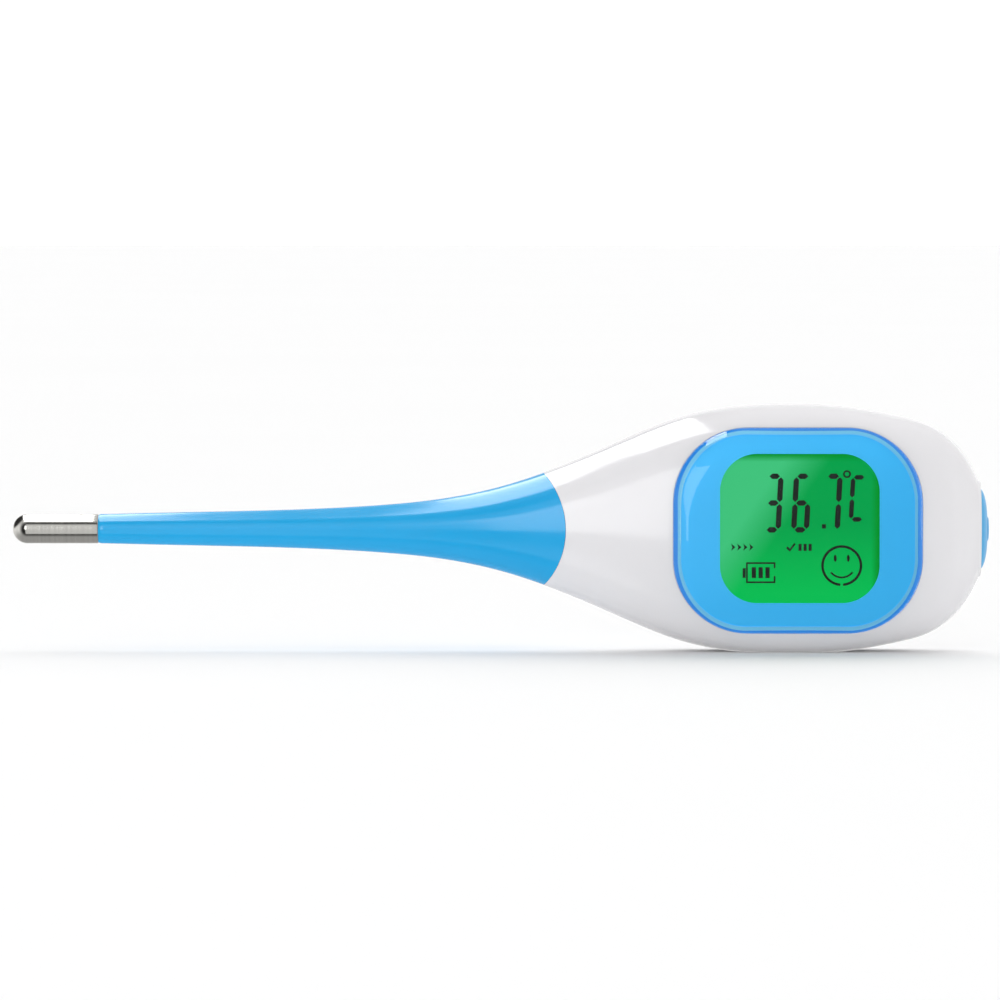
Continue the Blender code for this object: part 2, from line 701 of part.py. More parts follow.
def circuit_board():
    holes = [moved(circle(0.9 * MM, 16), x, z) for x, z in BOARD_SCREWS]
    board = plate("main_board", [board_outline(), *holes], BOARD_FRONT_Y, BOARD_BACK_Y, 0.0)
    linked(board, (0.02, 0.22, 0.08), 0.4)

    back = BOARD_BACK_Y + CLEARANCE
    dome_mesh = bmesh.new()
    bmesh.ops.create_uvsphere(dome_mesh, u_segments=24, v_segments=12, radius=3.6 * MM)
    lower = bmesh.ops.bisect_plane(
        dome_mesh, geom=dome_mesh.verts[:] + dome_mesh.edges[:] + dome_mesh.faces[:],
        plane_co=(0, 0, 0), plane_no=(0, 1, 0), clear_inner=True)
    edges = [e for e in lower["geom_cut"] if isinstance(e, bmesh.types.BMEdge)]
    bmesh.ops.edgeloop_fill(dome_mesh, edges=edges)
    controller = object_from("controller", dome_mesh)
    controller.location = (30.5 * MM, back, AXIS_Z + 8.5 * MM)
    controller.scale = (1.0, 0.36, 1.0)
    linked(controller, (0.02, 0.02, 0.02), 0.3)

    small = (
        ("crystal", 13.6, -4.0, 3.2, 1.4, 1.2, (0.6, 0.6, 0.6)),
        ("capacitor_a", 26.6, -3.4, 1.6, 0.8, 0.8, (0.45, 0.3, 0.18)),
        ("capacitor_b", 26.6, -5.6, 1.6, 0.8, 0.8, (0.45, 0.3, 0.18)),
        ("resistor_a", 26.6, 3.2, 1.6, 0.8, 0.5, (0.03, 0.03, 0.03)),
        ("resistor_b", 26.6, 0.6, 1.6, 0.8, 0.5, (0.03, 0.03, 0.03)),
    )
    for name, x, z, width, height, depth, colour in small:
        low = (x * MM, back, AXIS_Z + z * MM)
        high = ((x + width) * MM, back + depth * MM, AXIS_Z + (z + height) * MM)
        linked(box(name, low, high), colour, 0.4)

    for name, (x, z) in zip(("board_screw_upper", "board_screw_lower"), BOARD_SCREWS):
        tip = BOARD_FRONT_Y - 2.8 * MM
        head = ((0, back + 0.9 * MM), (1.0 * MM, back + 0.9 * MM),
                (1.5 * MM, back + 0.5 * MM), (1.5 * MM, back),
                (0.7 * MM, back), (0.7 * MM, tip + 0.4 * MM), (0.4 * MM, tip), (0, tip))
        screw = turned(name, head, (x, 0, AXIS_Z + z), (0, 1, 0), 16)
        linked(screw, (0.55, 0.55, 0.55), 0.3, 1.0)

    disc = along_y("buzzer_disc", BUZZER_X, 3.1 * MM, 3.35 * MM, 6.0 * MM, 32)
    linked(disc, (0.7, 0.5, 0.2), 0.3, 1.0)
    ceramic = along_y("buzzer_ceramic", BUZZER_X, 2.75 * MM, 3.0 * MM, 4.2 * MM, 28)
    linked(ceramic, (0.85, 0.83, 0.75), 0.4)


# ---------------------------------------------------------------- battery


def battery():
    centre = Vector((CELL_X, 0, AXIS_Z))
    r, t = CELL_RADIUS, CELL_THICKNESS
    can = ((0, t), (r - 0.3 * MM, t), (r, t - 0.3 * MM), (r, 0.5 * MM), (r - 0.9 * MM, 0.3 * MM),
           (r - 1.1 * MM, 0), (0, 0))
    cell = turned("coin_cell", can, centre + Vector((0, CELL_Y, 0)), (0, 1, 0), 40)
    linked(cell, (0.65, 0.65, 0.64), 0.25, 1.0)

    pad = BOARD_BACK_Y + CLEARANCE + 0.15 * MM
    reach = CELL_Y - CLEARANCE - 0.15 * MM
    spring = ((49.6 * MM, pad), (47.0 * MM, pad), (43.4 * MM, reach), (42.2 * MM, reach - 0.5 * MM))
    linked(ribbon("contact_negative", spring, -1.8 * MM, 1.8 * MM, 0.25 * MM), (0.7, 0.65, 0.5), 0.3, 1.0)
    clip = ((58.0 * MM, pad), (55.6 * MM, pad), (55.6 * MM, 6.4 * MM))
    linked(ribbon("contact_positive", clip, -1.9 * MM, 1.9 * MM, 0.25 * MM), (0.7, 0.65, 0.5), 0.3, 1.0)

    outline = rounded(COVER_SIZE, COVER_CORNER)
    cover = skin_plate("battery_cover", outline, COVER_X, 0.0, sunk(1, 0.0), sunk(1, COVER_THICKNESS))
    post = Vector((SCREW_X, 0, AXIS_Z))
    join(cover, along_y("add_cover_boss", SCREW_X, 6.95 * MM, 8.7 * MM, 2.25 * MM, 24))
    cut(cover, along_y("cut_screw_head", SCREW_X, 8.2 * MM, REACH, 1.8 * MM, 24))
    cut(cover, along_y("cut_screw_shaft", SCREW_X, 5 * MM, REACH, 0.9 * MM, 20))
    linked(cover, (0.80, 0.79, 0.80), 0.3)

    gap = 0.2 * MM
    seal = skin_ring("cover_seal", circle(11.7 * MM, 36), circle(10.7 * MM, 36), CELL_X, 0.0,
                     sunk(1, COVER_THICKNESS + gap), sunk(1, COVER_POCKET - gap / 2))
    linked(seal, (0.05, 0.05, 0.05), 0.8)

    low, under, high = 4.3 * MM, 8.35 * MM, 9.15 * MM
    shape = ((0, high), (1.4 * MM, high), (1.6 * MM, high - 0.2 * MM), (1.6 * MM, under),
             (0.75 * MM, under), (0.75 * MM, low + 0.4 * MM), (0.4 * MM, low), (0, low))
    screw = as_mesh(turned("battery_screw", shape, post, (0, 1, 0), 24))
    for index, size in enumerate(((1.1 * MM, 0.2 * MM), (0.2 * MM, 1.1 * MM))):
        slot_low = (SCREW_X - size[0], high - 0.45 * MM, AXIS_Z - size[1])
        slot_high = (SCREW_X + size[0], high + 1 * MM, AXIS_Z + size[1])
        cut(screw, box(f"cut_slot_{index}", slot_low, slot_high))
    linked(screw, (0.55, 0.55, 0.55), 0.3, 1.0)


# ---------------------------------------------------------------- button and switch


def button():
    turns = ring_turns(32)
    power = 2 / squareness(END_X)

    def oval(x, high, thick):
        row = []
        for t in turns:
            z = math.copysign(high * abs(math.sin(t)) ** power, math.sin(t))
            y = math.copysign(thick * abs(math.cos(t)) ** power, math.cos(t))
            row.append(Vector((x, y, AXIS_Z + z)))
        return row

    high, thick = BUTTON_HALF
    rows = [oval(65.6 * MM, 0.0, 0.0), oval(65.6 * MM, high + 0.9 * MM, thick + 0.35 * MM),
            oval(66.3 * MM, high + 0.9 * MM, thick + 0.35 * MM), oval(66.3 * MM, high, thick)]
    crown = CROWN_X - END_X
    for j in range(7):
        turn = math.pi / 2 * j / 6
        share = math.cos(turn)
        x = END_X - 0.3 * MM + (crown + 0.15 * MM) * math.sin(turn)
        rows.append(oval(x, high * share, thick * share))
    bm = bmesh.new()
    verts = [[bm.verts.new(p) for p in row] for row in rows]
    for low_row, high_row in zip(verts, verts[1:]):
        for j in range(len(turns)):
            k = (j + 1) % len(turns)
            bm.faces.new((low_row[j], low_row[k], high_row[k], high_row[j]))
    bmesh.ops.remove_doubles(bm, verts=bm.verts, dist=1e-7)
    key = object_from("power_button", bm)
    axis = Vector((0, 0, AXIS_Z))
    spot = oval_mark()
    join(key, spot)
    stem_y = Vector((0, BUTTON_STEM_Y, 0))
    join(key, rod("add_button_stem", axis + stem_y + Vector((63.4 * MM, 0, 0)),
                  axis + stem_y + Vector((65.9 * MM, 0, 0)), 1.2 * MM, 16))
    linked(key, (0.13, 0.45, 0.76), 0.35)

    body = box("switch_body", (58.6 * MM, -3.9 * MM, AXIS_Z - 3 * MM),
               (61.8 * MM, BOARD_FRONT_Y - CLEARANCE, AXIS_Z + 3 * MM))
    cut(body, rod("cut_plunger_bore", axis + stem_y + Vector((60.2 * MM, 0, 0)),
                  axis + stem_y + Vector((63 * MM, 0, 0)), 1.05 * MM, 20))
    linked(body, (0.06, 0.06, 0.06), 0.4)
    plunger = rod("switch_plunger", axis + stem_y + Vector((61.0 * MM, 0, 0)),
                  axis + stem_y + Vector((63.2 * MM, 0, 0)), 0.9 * MM, 16)
    linked(plunger, (0.75, 0.1, 0.08), 0.4)


def oval_mark():
    """The raised spot in the middle of the button, for the thumb to find."""
    spot = bmesh.new()
    bmesh.ops.create_uvsphere(spot, u_segments=24, v_segments=12, radius=1.75 * MM)
    spot = object_from("add_button_spot", spot)
    spot.scale = (0.5, 0.8, 1.0)
    bpy.context.scene.collection.objects.link(spot)
    bpy.context.view_layer.update()
    bpy.context.scene.collection.objects.unlink(spot)
    spot.location = (CROWN_X - 0.875 * MM, 0, AXIS_Z)
    return spot


# ---------------------------------------------------------------- the whole

for old in list(bpy.data.objects):
    bpy.data.objects.remove(old)

parts = bpy.data.collections.new("digital_thermometer")
cutters = bpy.data.collections.new("cutters")
bpy.context.scene.collection.children.link(parts)
bpy.context.scene.collection.children.link(cutters)

front_shell()
rear_shell()
probe_stem()
neck_core()
probe_tip()
sensor_leads()
display()
circuit_board()
battery()
button()
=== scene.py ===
"""The looks of the digital thermometer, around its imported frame. Metres, +Z up, display facing -Y."""

import math

import bmesh
import bpy
import numpy as np
from mathutils import Matrix, Vector


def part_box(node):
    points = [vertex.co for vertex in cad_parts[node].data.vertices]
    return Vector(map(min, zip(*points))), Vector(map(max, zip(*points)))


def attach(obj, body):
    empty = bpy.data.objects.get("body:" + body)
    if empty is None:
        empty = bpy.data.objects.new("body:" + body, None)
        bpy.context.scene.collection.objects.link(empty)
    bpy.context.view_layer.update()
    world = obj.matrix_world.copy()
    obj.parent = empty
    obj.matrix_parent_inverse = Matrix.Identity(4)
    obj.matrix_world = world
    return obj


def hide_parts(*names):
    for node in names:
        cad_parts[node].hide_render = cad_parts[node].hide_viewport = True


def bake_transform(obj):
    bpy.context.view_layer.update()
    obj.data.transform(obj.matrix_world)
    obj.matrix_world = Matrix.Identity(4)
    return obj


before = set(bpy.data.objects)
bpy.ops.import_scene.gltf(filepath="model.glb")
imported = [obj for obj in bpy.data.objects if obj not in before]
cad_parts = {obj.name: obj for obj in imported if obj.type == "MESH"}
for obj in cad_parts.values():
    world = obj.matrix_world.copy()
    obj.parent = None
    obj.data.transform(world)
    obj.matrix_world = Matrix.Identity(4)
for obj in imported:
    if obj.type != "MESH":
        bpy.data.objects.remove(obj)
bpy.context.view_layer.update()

MM = 0.001

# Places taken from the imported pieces
CAP_LOW, CAP_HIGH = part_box("probe_cap")
LENS_LOW, LENS_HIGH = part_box("display_lens")
LCD_LOW, LCD_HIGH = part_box("lcd_panel")
CELL_LOW, CELL_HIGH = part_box("coin_cell")
COVER_LOW, COVER_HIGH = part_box("battery_cover")
SCREW_LOW, SCREW_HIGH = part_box("battery_screw")
KEY_LOW, KEY_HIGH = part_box("power_button")
AXIS_Z = (CAP_LOW.z + CAP_HIGH.z) / 2
LENS_SIZE = (LENS_HIGH.x - LENS_LOW.x, LENS_HIGH.z - LENS_LOW.z)
COVER_SIZE = (COVER_HIGH.x - COVER_LOW.x, COVER_HIGH.z - COVER_LOW.z)
LENS_X = (LENS_LOW.x + LENS_HIGH.x) / 2
COVER_X = (COVER_LOW.x + COVER_HIGH.x) / 2
SCREW_X = (SCREW_LOW.x + SCREW_HIGH.x) / 2
CELL_X = (CELL_LOW.x + CELL_HIGH.x) / 2

# The body's shape
JOINT_RADIUS = 11.93 * MM
JOINT_X = -2.62 * MM
HAIRLINE = 0.02 * MM
PARTING = 0.06 * MM
END_X = 68.8 * MM
FRONT_WALL, REAR_WALL, END_WALL = 2.0 * MM, 2.4 * MM, 1.3 * MM
END_WALL_START_X, END_WALL_RUN = 58 * MM, 5 * MM
TUNNEL_LENGTH = 1.5 * MM
STEM_WALL, STEM_BORE = 1.8 * MM, 0.95 * MM
SPIGOT_RADIUS, SPIGOT_LENGTH = 1.6 * MM, 4.4 * MM
JOINT_REACH = 9.2 * MM
FRONT_OF_ALL, BACK_OF_ALL = -14 * MM, 15 * MM

# Stations along the length: x, half height, half thickness at the front and at the back, squareness
STATIONS = np.array([
    (-57.6, 2.10, 2.10, 2.10, 2.0),
    (-46.0, 2.37, 2.36, 2.36, 2.0),
    (-29.0, 2.80, 2.75, 2.75, 2.0),
    (-17.3, 3.42, 3.20, 3.20, 2.0),
    (-8.7, 4.30, 3.80, 3.80, 2.05),
    (0.0, 6.08, 4.65, 4.65, 2.1),
    (8.5, 8.95, 5.80, 5.90, 2.3),
    (17.1, 12.60, 7.20, 7.40, 2.6),
    (25.7, 16.00, 8.50, 9.00, 2.9),
    (34.0, 17.60, 9.20, 9.90, 3.1),
    (42.0, 17.93, 9.40, 10.20, 3.2),
    (50.0, 17.45, 9.30, 10.10, 3.2),
    (57.3, 16.15, 8.90, 9.55, 3.1),
    (62.0, 14.60, 8.20, 8.60, 2.9),
    (64.5, 12.85, 7.60, 7.75, 2.75),
    (65.9, 11.40, 6.90, 7.00, 2.6),
    (67.35, 9.26, 6.10, 6.15, 2.45),
    (68.8, 6.35, 4.90, 4.90, 2.3),
])

# Display, battery bay and cover
LENS_CORNER = 10.7 * MM
LENS_PROUD = 0.8 * MM
LENS_FLATTENING = 0.6
LENS_ROUND = 1.1 * MM
VIEW_X, VIEW_Z = 42.64 * MM, AXIS_Z + 0.35 * MM
VIEW_SIZE, VIEW_CORNER = (22.75 * MM, 21.2 * MM), 5.35 * MM
COVER_CORNER = 9.0 * MM
BAY_RADIUS, BAY_WALL, BAY_FLOOR = 10.4 * MM, 1.4 * MM, (2.6 * MM, 3.6 * MM)
COVER_THICKNESS, COVER_POCKET = 1.2 * MM, 1.85 * MM
WELD_DISTANCE = 1e-7


# ---------------------------------------------------------------- shape of the body


def spline_bends(xs, values):
    """Second derivatives of the natural cubic spline through the stations."""
    count = len(xs)
    matrix, right = np.zeros((count, count)), np.zeros(count)
    matrix[0, 0] = matrix[-1, -1] = 1
    for i in range(1, count - 1):
        before, after = xs[i] - xs[i - 1], xs[i + 1] - xs[i]
        matrix[i, i - 1 : i + 2] = before / 6, (before + after) / 3, after / 6
        right[i] = (values[i + 1] - values[i]) / after - (values[i] - values[i - 1]) / before
    return np.linalg.solve(matrix, right)


BENDS = [spline_bends(STATIONS[:, 0], STATIONS[:, k]) for k in range(1, 5)]


def column(x, index):
    """One column of STATIONS at x, in its own unit."""
    xs, values, bends = STATIONS[:, 0], STATIONS[:, index], BENDS[index - 1]
    at = min(max(x / MM, xs[0]), xs[-1])
    i = min(max(int(np.searchsorted(xs, at)) - 1, 0), len(xs) - 2)
    width = xs[i + 1] - xs[i]
    a, b = (xs[i + 1] - at) / width, (at - xs[i]) / width
    curve = ((a**3 - a) * bends[i] + (b**3 - b) * bends[i + 1]) * width**2 / 6
    return a * values[i] + b * values[i + 1] + curve


def half_height(x):
    return column(x, 1) * MM


def half_thickness(x, side):
    return column(x, 2 if side < 0 else 3) * MM


def wall_at(x, wall):
    """A wall measured square to the axis: it thins towards the button and grows where the skin slopes."""
    blend = min(max((x - END_WALL_START_X) / END_WALL_RUN, 0.0), 1.0)
    return wall + (END_WALL - wall) * blend


def slope_factor(size, x):
    """How much longer a wall measured square to the axis is than the wall itself."""
    step = 0.3 * MM
    rise = (size(x + step) - size(x - step)) / (2 * step)
    return math.sqrt(1 + min(rise * rise, 4.0))


def around(x, turn, inset=0.0, gap=0.0):
    """A point of the skin: turn 0 is the back, 90 degrees the top and 180 the front.

    gap keeps the halves apart at the parting plane."""
    sine, cosine = math.sin(turn), math.cos(turn)
    side = 1 if cosine >= 0 else -1
    high = half_height(x) - inset * slope_factor(half_height, x)
    thick = half_thickness(x, side) - inset * slope_factor(lambda v: half_thickness(v, side), x)
    power = 2 / column(x, 4)
    z = AXIS_Z + math.copysign(high * abs(sine) ** power, sine)
    y = math.copysign(max(thick * abs(cosine) ** power, gap / 2), side)
    return Vector((x, y, max(z, inset)))


def skin_y(x, z, side, depth=0.0):
    """The skin's y over a place of the front or the back, sunk by depth."""
    ratio = min(abs(z - AXIS_Z) / half_height(x), 1.0)
    power = column(x, 4)
    return side * (half_thickness(x, side) * (1 - ratio**power) ** (1 / power) - depth)


def sunk(side, depth):
    """A surface that lies depth under the skin."""
    return lambda x, z: skin_y(x, z, side, depth)


def level(y):
    """A flat surface square to Y."""
    return lambda x, z: y


def joint_x(z):
    """The joint between stem and body is a cylinder about a line along Y."""
    return JOINT_X + math.sqrt(JOINT_RADIUS**2 - min(abs(z - AXIS_Z), JOINT_REACH) ** 2)


def joint_at(turn, inset, offset):
    """Where a line along the skin meets the joint between stem and body."""
    x = 8.0 * MM
    for _ in range(16):
        x = joint_x(around(x, turn, inset).z) + offset
    return x


# ---------------------------------------------------------------- making meshes


SMOOTH_ANGLE = 35.0


def full_turn(count):
    return [2 * math.pi * k / count for k in range(count)]


def bridge(bm, rows):
    """Faces between each row of vertices and the next, all the way round."""
    for low, high in zip(rows, rows[1:]):
        for j in range(len(low)):
            k = (j + 1) % len(low)
            bm.faces.new((low[j], low[k], high[k], high[j]))


def object_from(name, bm, angle=SMOOTH_ANGLE):
    bmesh.ops.recalc_face_normals(bm, faces=bm.faces)
    mesh = bpy.data.meshes.new(name)
    bm.to_mesh(mesh)
    bm.free()
    obj = bpy.data.objects.new(name, mesh)
    bpy.context.scene.collection.objects.link(obj)
    smooth(obj, angle)
    return obj


def smooth(obj, angle=SMOOTH_ANGLE):
    obj.data.shade_smooth()
    obj.data.set_sharp_from_angle(angle=math.radians(angle))


def skins(name, grids, wrap=True):
    """A closed solid from rows of points, which run from the outer grid over the edge to the inner grid.

    Without wrap each row is open, and its two ends are closed by strips between the grids."""
    bm = bmesh.new()
    rows = [[bm.verts.new(p) for p in row] for grid in grids for row in grid]
    count = len(rows[0])
    for low, high in zip(rows, rows[1:] + rows[:1]):
        for j in range(count if wrap else count - 1):
            k = (j + 1) % count
            bm.faces.new((low[j], low[k], high[k], high[j]))
    if not wrap:
        half = len(rows) // 2
        for j in (0, count - 1):
            for i in range(half - 1):
                bm.faces.new((rows[i][j], rows[i + 1][j], rows[-i - 2][j], rows[-i - 1][j]))
    bmesh.ops.remove_doubles(bm, verts=bm.verts, dist=WELD_DISTANCE)
    return object_from(name, bm)


def turned(name, profile, centre, axis, sides=96, angle=SMOOTH_ANGLE):
    """A profile of (radius, height) pairs, turned about an axis through centre."""
    bm = bmesh.new()
    rows = [[bm.verts.new((radius * math.cos(t), radius * math.sin(t), height)) for t in full_turn(sides)]
            for radius, height in profile]
    bridge(bm, rows)
    bmesh.ops.remove_doubles(bm, verts=bm.verts, dist=WELD_DISTANCE)
    place = Matrix.Translation(centre) @ Vector(axis).to_track_quat("Z", "Y").to_matrix().to_4x4()
    bm.transform(place)
    return object_from(name, bm, angle)


def box_mesh(name, low, high):
    bm = bmesh.new()
    size = [b - a for a, b in zip(low, high)]
    centre = Vector([(a + b) / 2 for a, b in zip(low, high)])
    bmesh.ops.create_cube(bm, size=1.0, matrix=Matrix.Translation(centre) @ Matrix.Diagonal((*size, 1.0)))
    return object_from(name, bm)


def rod(name, x, y0, y1, radius, sides=72):
    """A round rod along Y, at the height of the axis."""
    return turned(name, ((0, y1), (radius, y1), (radius, y0), (0, y0)), (x, 0, AXIS_Z), (0, 1, 0), sides)


def rounded(size, corner, arc_points=25, straight=12):
    """The outline of a rectangle with round corners, counter-clockwise from its lower right."""
    outline = []
    for k, (sx, sz) in enumerate(((1, -1), (1, 1), (-1, 1), (-1, -1))):
        cx, cz = sx * (size[0] / 2 - corner), sz * (size[1] / 2 - corner)
        for j in range(arc_points):
            turn = math.radians(-90 + 90 * k + 90 * j / (arc_points - 1))
            outline.append((cx + corner * math.cos(turn), cz + corner * math.sin(turn)))
        nx, nz = ((1, 1), (-1, 1), (-1, -1), (1, -1))[k]
        end = (nx * (size[0] / 2 - corner), nz * (size[1] / 2 - corner))
        turn = math.radians(90 * k)
        end = (end[0] + corner * math.cos(turn), end[1] + corner * math.sin(turn))
        start = outline[-1]
        for j in range(1, straight):
            t = j / straight
            outline.append((start[0] + (end[0] - start[0]) * t, start[1] + (end[1] - start[1]) * t))
    return outline


def inset_outline(size, corner, inset):
    """The same outline, inset evenly; past the corner radius the corners stay slightly round."""
    small = (size[0] - 2 * inset, size[1] - 2 * inset)
    return rounded(small, max(corner - inset, 0.1 * min(small)))


def over(outline, x, z, surface, scale=1.0):
    """An outline as a row of points on a surface that gives y."""
    places = [(x + px * scale, z + pz * scale) for px, pz in outline]
    return [Vector((px, surface(px, pz), pz)) for px, pz in places]


def cut(obj, tool, operation="DIFFERENCE"):
    """A Boolean, applied, and its tool removed."""
    boolean = obj.modifiers.new("cut", "BOOLEAN")
    boolean.operation = operation
    boolean.object = tool
    graph = bpy.context.evaluated_depsgraph_get()
    mesh = bpy.data.meshes.new_from_object(obj.evaluated_get(graph))
    obj.modifiers.clear()
    obj.data = mesh
    bpy.data.objects.remove(tool)
    smooth(obj)


# ---------------------------------------------------------------- materials


def principled(name, colour, roughness, metallic=0.0, **sockets):
    """A material with its shader; sockets are set by name, with _ for a space."""
    made = bpy.data.materials.new(name)
    made.use_nodes = True
    shader = made.node_tree.nodes["Principled BSDF"]
    shader.inputs["Base Color"].default_value = (*colour, 1)
    shader.inputs["Roughness"].default_value = roughness
    shader.inputs["Metallic"].default_value = metallic
    for key, value in sockets.items():
        shader.inputs[key.replace("_", " ")].default_value = value
    return made, made.node_tree, shader


def noise(tree, scale, detail=3.0):
    place = tree.nodes.new("ShaderNodeTexCoord")
    texture = tree.nodes.new("ShaderNodeTexNoise")
    texture.inputs["Scale"].default_value = scale
    texture.inputs["Detail"].default_value = detail
    tree.links.new(place.outputs["Object"], texture.inputs["Vector"])
    return texture.outputs["Fac"]


def ramp(tree, value, low, high):
    """value, spread from low to high; each is a number or a colour."""
    node = tree.nodes.new("ShaderNodeValToRGB")
    for element, end, place in zip(node.color_ramp.elements, (low, high), (0.3, 0.7)):
        colour = end if hasattr(end, "__len__") else (end, end, end)
        element.color = (*colour, 1)
        element.position = place
    tree.links.new(value, node.inputs["Fac"])
    return node.outputs["Color"]


def bump(tree, shader, value, strength, distance):
    node = tree.nodes.new("ShaderNodeBump")
    node.inputs["Strength"].default_value = strength
    node.inputs["Distance"].default_value = distance
    tree.links.new(value, node.inputs["Height"])
    tree.links.new(node.outputs["Normal"], shader.inputs["Normal"])


def plastic(name, colour, roughness, vary=0.03, grain=900.0, depth=0.004 * MM, **sockets):
    """Moulded plastic: a faint mottle, uneven gloss and a fine skin texture."""
    made, tree, shader = principled(name, colour, roughness, **sockets)
    darker = tuple(c * (1 - vary) for c in colour)
    tree.links.new(ramp(tree, noise(tree, 60.0), darker, colour), shader.inputs["Base Color"])
    gloss = ramp(tree, noise(tree, 140.0, 5.0), roughness * 0.85, roughness * 1.2)
    tree.links.new(gloss, shader.inputs["Roughness"])
    bump(tree, shader, noise(tree, grain, 2.0), 0.15, depth)
    return made


def metal(name, colour, roughness, lines=(1.0, 1.0, 1.0), depth=0.003 * MM):
    """Metal with fine lines, drawn out along the axis whose share is small."""
    made, tree, shader = principled(name, colour, roughness, 1.0)
    place = tree.nodes.new("ShaderNodeTexCoord")
    scale = tree.nodes.new("ShaderNodeMapping")
    scale.inputs["Scale"].default_value = lines
    texture = tree.nodes.new("ShaderNodeTexNoise")
    texture.inputs["Scale"].default_value = 2500.0
    texture.inputs["Detail"].default_value = 4.0
    tree.links.new(place.outputs["Object"], scale.inputs["Vector"])
    tree.links.new(scale.outputs["Vector"], texture.inputs["Vector"])
    worn = tuple(c * 0.9 for c in colour)
    tree.links.new(ramp(tree, texture.outputs["Fac"], worn, colour), shader.inputs["Base Color"])
    gloss = ramp(tree, texture.outputs["Fac"], roughness * 0.7, roughness * 1.3)
    tree.links.new(gloss, shader.inputs["Roughness"])
    bump(tree, shader, texture.outputs["Fac"], 0.1, depth)
    return made


def clear_plastic(name):
    """Clear moulded plastic that lets lamps through to what lies behind it."""
    made = bpy.data.materials.new(name)
    made.use_nodes = True
    tree = made.node_tree
    tree.nodes.remove(tree.nodes["Principled BSDF"])
    glass = tree.nodes.new("ShaderNodeBsdfGlass")
    glass.inputs["IOR"].default_value = 1.49
    glass.inputs["Color"].default_value = (0.97, 0.99, 1.0, 1)
    gloss = ramp(tree, noise(tree, 200.0, 2.0), 0.0, 0.02)
    tree.links.new(gloss, glass.inputs["Roughness"])
    through = tree.nodes.new("ShaderNodeBsdfTransparent")
    rays = tree.nodes.new("ShaderNodeLightPath")
    mix = tree.nodes.new("ShaderNodeMixShader")
    tree.links.new(rays.outputs["Is Shadow Ray"], mix.inputs["Fac"])
    tree.links.new(glass.outputs[0], mix.inputs[1])
    tree.links.new(through.outputs[0], mix.inputs[2])
    tree.links.new(mix.outputs[0], tree.nodes["Material Output"].inputs["Surface"])
    return made


def finish(obj, made):
    """Gives the object its only material."""
    obj.data.materials.clear()
    obj.data.materials.append(made)


def place_piece(obj, made, body="body", stands_for=None):
    """A finished piece that rides on a body, and the CAD node that it replaces."""
    finish(obj, made)
    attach(obj, body)
    if stands_for:
        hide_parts(stands_for)


WHITE = plastic("white_plastic", (0.84, 0.83, 0.85), 0.09, 0.01)
BLUE = plastic("soft_blue", (0.018, 0.41, 0.81), 0.13, 0.03)
KEY_BLUE = plastic("key_blue", (0.085, 0.45, 0.83), 0.35, 0.04)
# The blue print also glows: painted light that stands in for light it lacks behind the lens.
FILM_BLUE_PAINTED_GLOW = plastic("printed_blue_painted_glow", (0.045, 0.50, 0.92), 0.45, 0.02,
                    Emission_Color=(0.028, 0.225, 0.42, 1), Emission_Strength=1.0)
# A dark blue line of painted shade that glows a little, standing in for the lens's shaded side wall.
RIM_PAINTED_SHADE = plastic("rim_blue_painted_shade", (0.01, 0.30, 0.85), 0.45, 0.05,
                   Emission_Color=(0.0, 0.09, 0.33, 1), Emission_Strength=1.0)
# A light blue line of painted highlight that glows, standing in for the lens's rounded edge catching side
# lights.
HIGHLIGHT_LINE_BLUE = plastic("line_blue_painted_highlight", (0.22, 0.70, 0.95), 0.45, 0.05,
                    Emission_Color=(0.05, 0.16, 0.27, 1), Emission_Strength=1.0)
CLEAR = clear_plastic("clear_lens")
STEEL = metal("drawn_steel", (0.72, 0.71, 0.67), 0.16, (1.0, 0.02, 0.02))
BARE_STEEL = metal("bare_steel", (0.62, 0.62, 0.62), 0.28)
SPRING = metal("spring_metal", (0.74, 0.62, 0.38), 0.3)
RUBBER = plastic("black_rubber", (0.025, 0.025, 0.027), 0.7, 0.2)


# ---------------------------------------------------------------- white shells


def half_shell(name, side, wall):
    """One half of the white body, hollow, with the tunnel of the button and a softened lip."""
    rows, points = 130, 56
    turns = [math.radians(90 * (1 - side) + 90 - 180 * j / points) for j in range(points + 1)]
    key_high = (KEY_HIGH.z - KEY_LOW.z) / 2 - 0.75 * MM
    key_thick = (KEY_HIGH.y - KEY_LOW.y) / 2 - 0.2 * MM
    lip = 0.25 * MM
    outer, inner = [], []
    starts = [(joint_at(turn, 0.0, HAIRLINE), joint_at(turn, wall, HAIRLINE)) for turn in turns]
    for i in range(rows + 1):
        share = math.sin(math.pi / 2 * i / rows) ** 0.8
        row_out, row_in = [], []
        for turn, (start, start_in) in zip(turns, starts):
            row_out.append(around(start + (END_X - lip - start) * share, turn, 0.0, PARTING))
            x = start_in + (END_X - TUNNEL_LENGTH - start_in) * share
            row_in.append(around(x, turn, wall_at(x, wall), PARTING))
        outer.append(row_out)
        inner.append(row_in)
    hole = (key_high, key_thick)
    hole_start = END_X - TUNNEL_LENGTH
    edge = (half_height(END_X - lip), half_thickness(END_X - lip, side))
    for j in range(1, 6):
        turn = math.pi / 2 * j / 5
        shrink = lip * (1 - math.cos(turn))
        x = END_X - lip + lip * math.sin(turn)
        outer.append(oval(x, (edge[0] - shrink, edge[1] - shrink), turns, PARTING))
        inner.append(oval(hole_start + (TUNNEL_LENGTH - 0.05 * MM) * (j - 1) / 4, hole, turns, PARTING))
    return skins(name, (outer, inner[::-1]), wrap=False)


def oval(x, halves, turns, gap=0.0):
    """A row of points round the axis, as square as the body's end; halves are its half height and thickness."""
    power = 2 / column(END_X, 4)
    row = []
    for turn in turns:
        sine, cosine = math.sin(turn), math.cos(turn)
        z = AXIS_Z + math.copysign(halves[0] * abs(sine) ** power, sine)
        y = math.copysign(max(halves[1] * abs(cosine) ** power, gap / 2), cosine)
        row.append(Vector((x, y, z)))
    return row


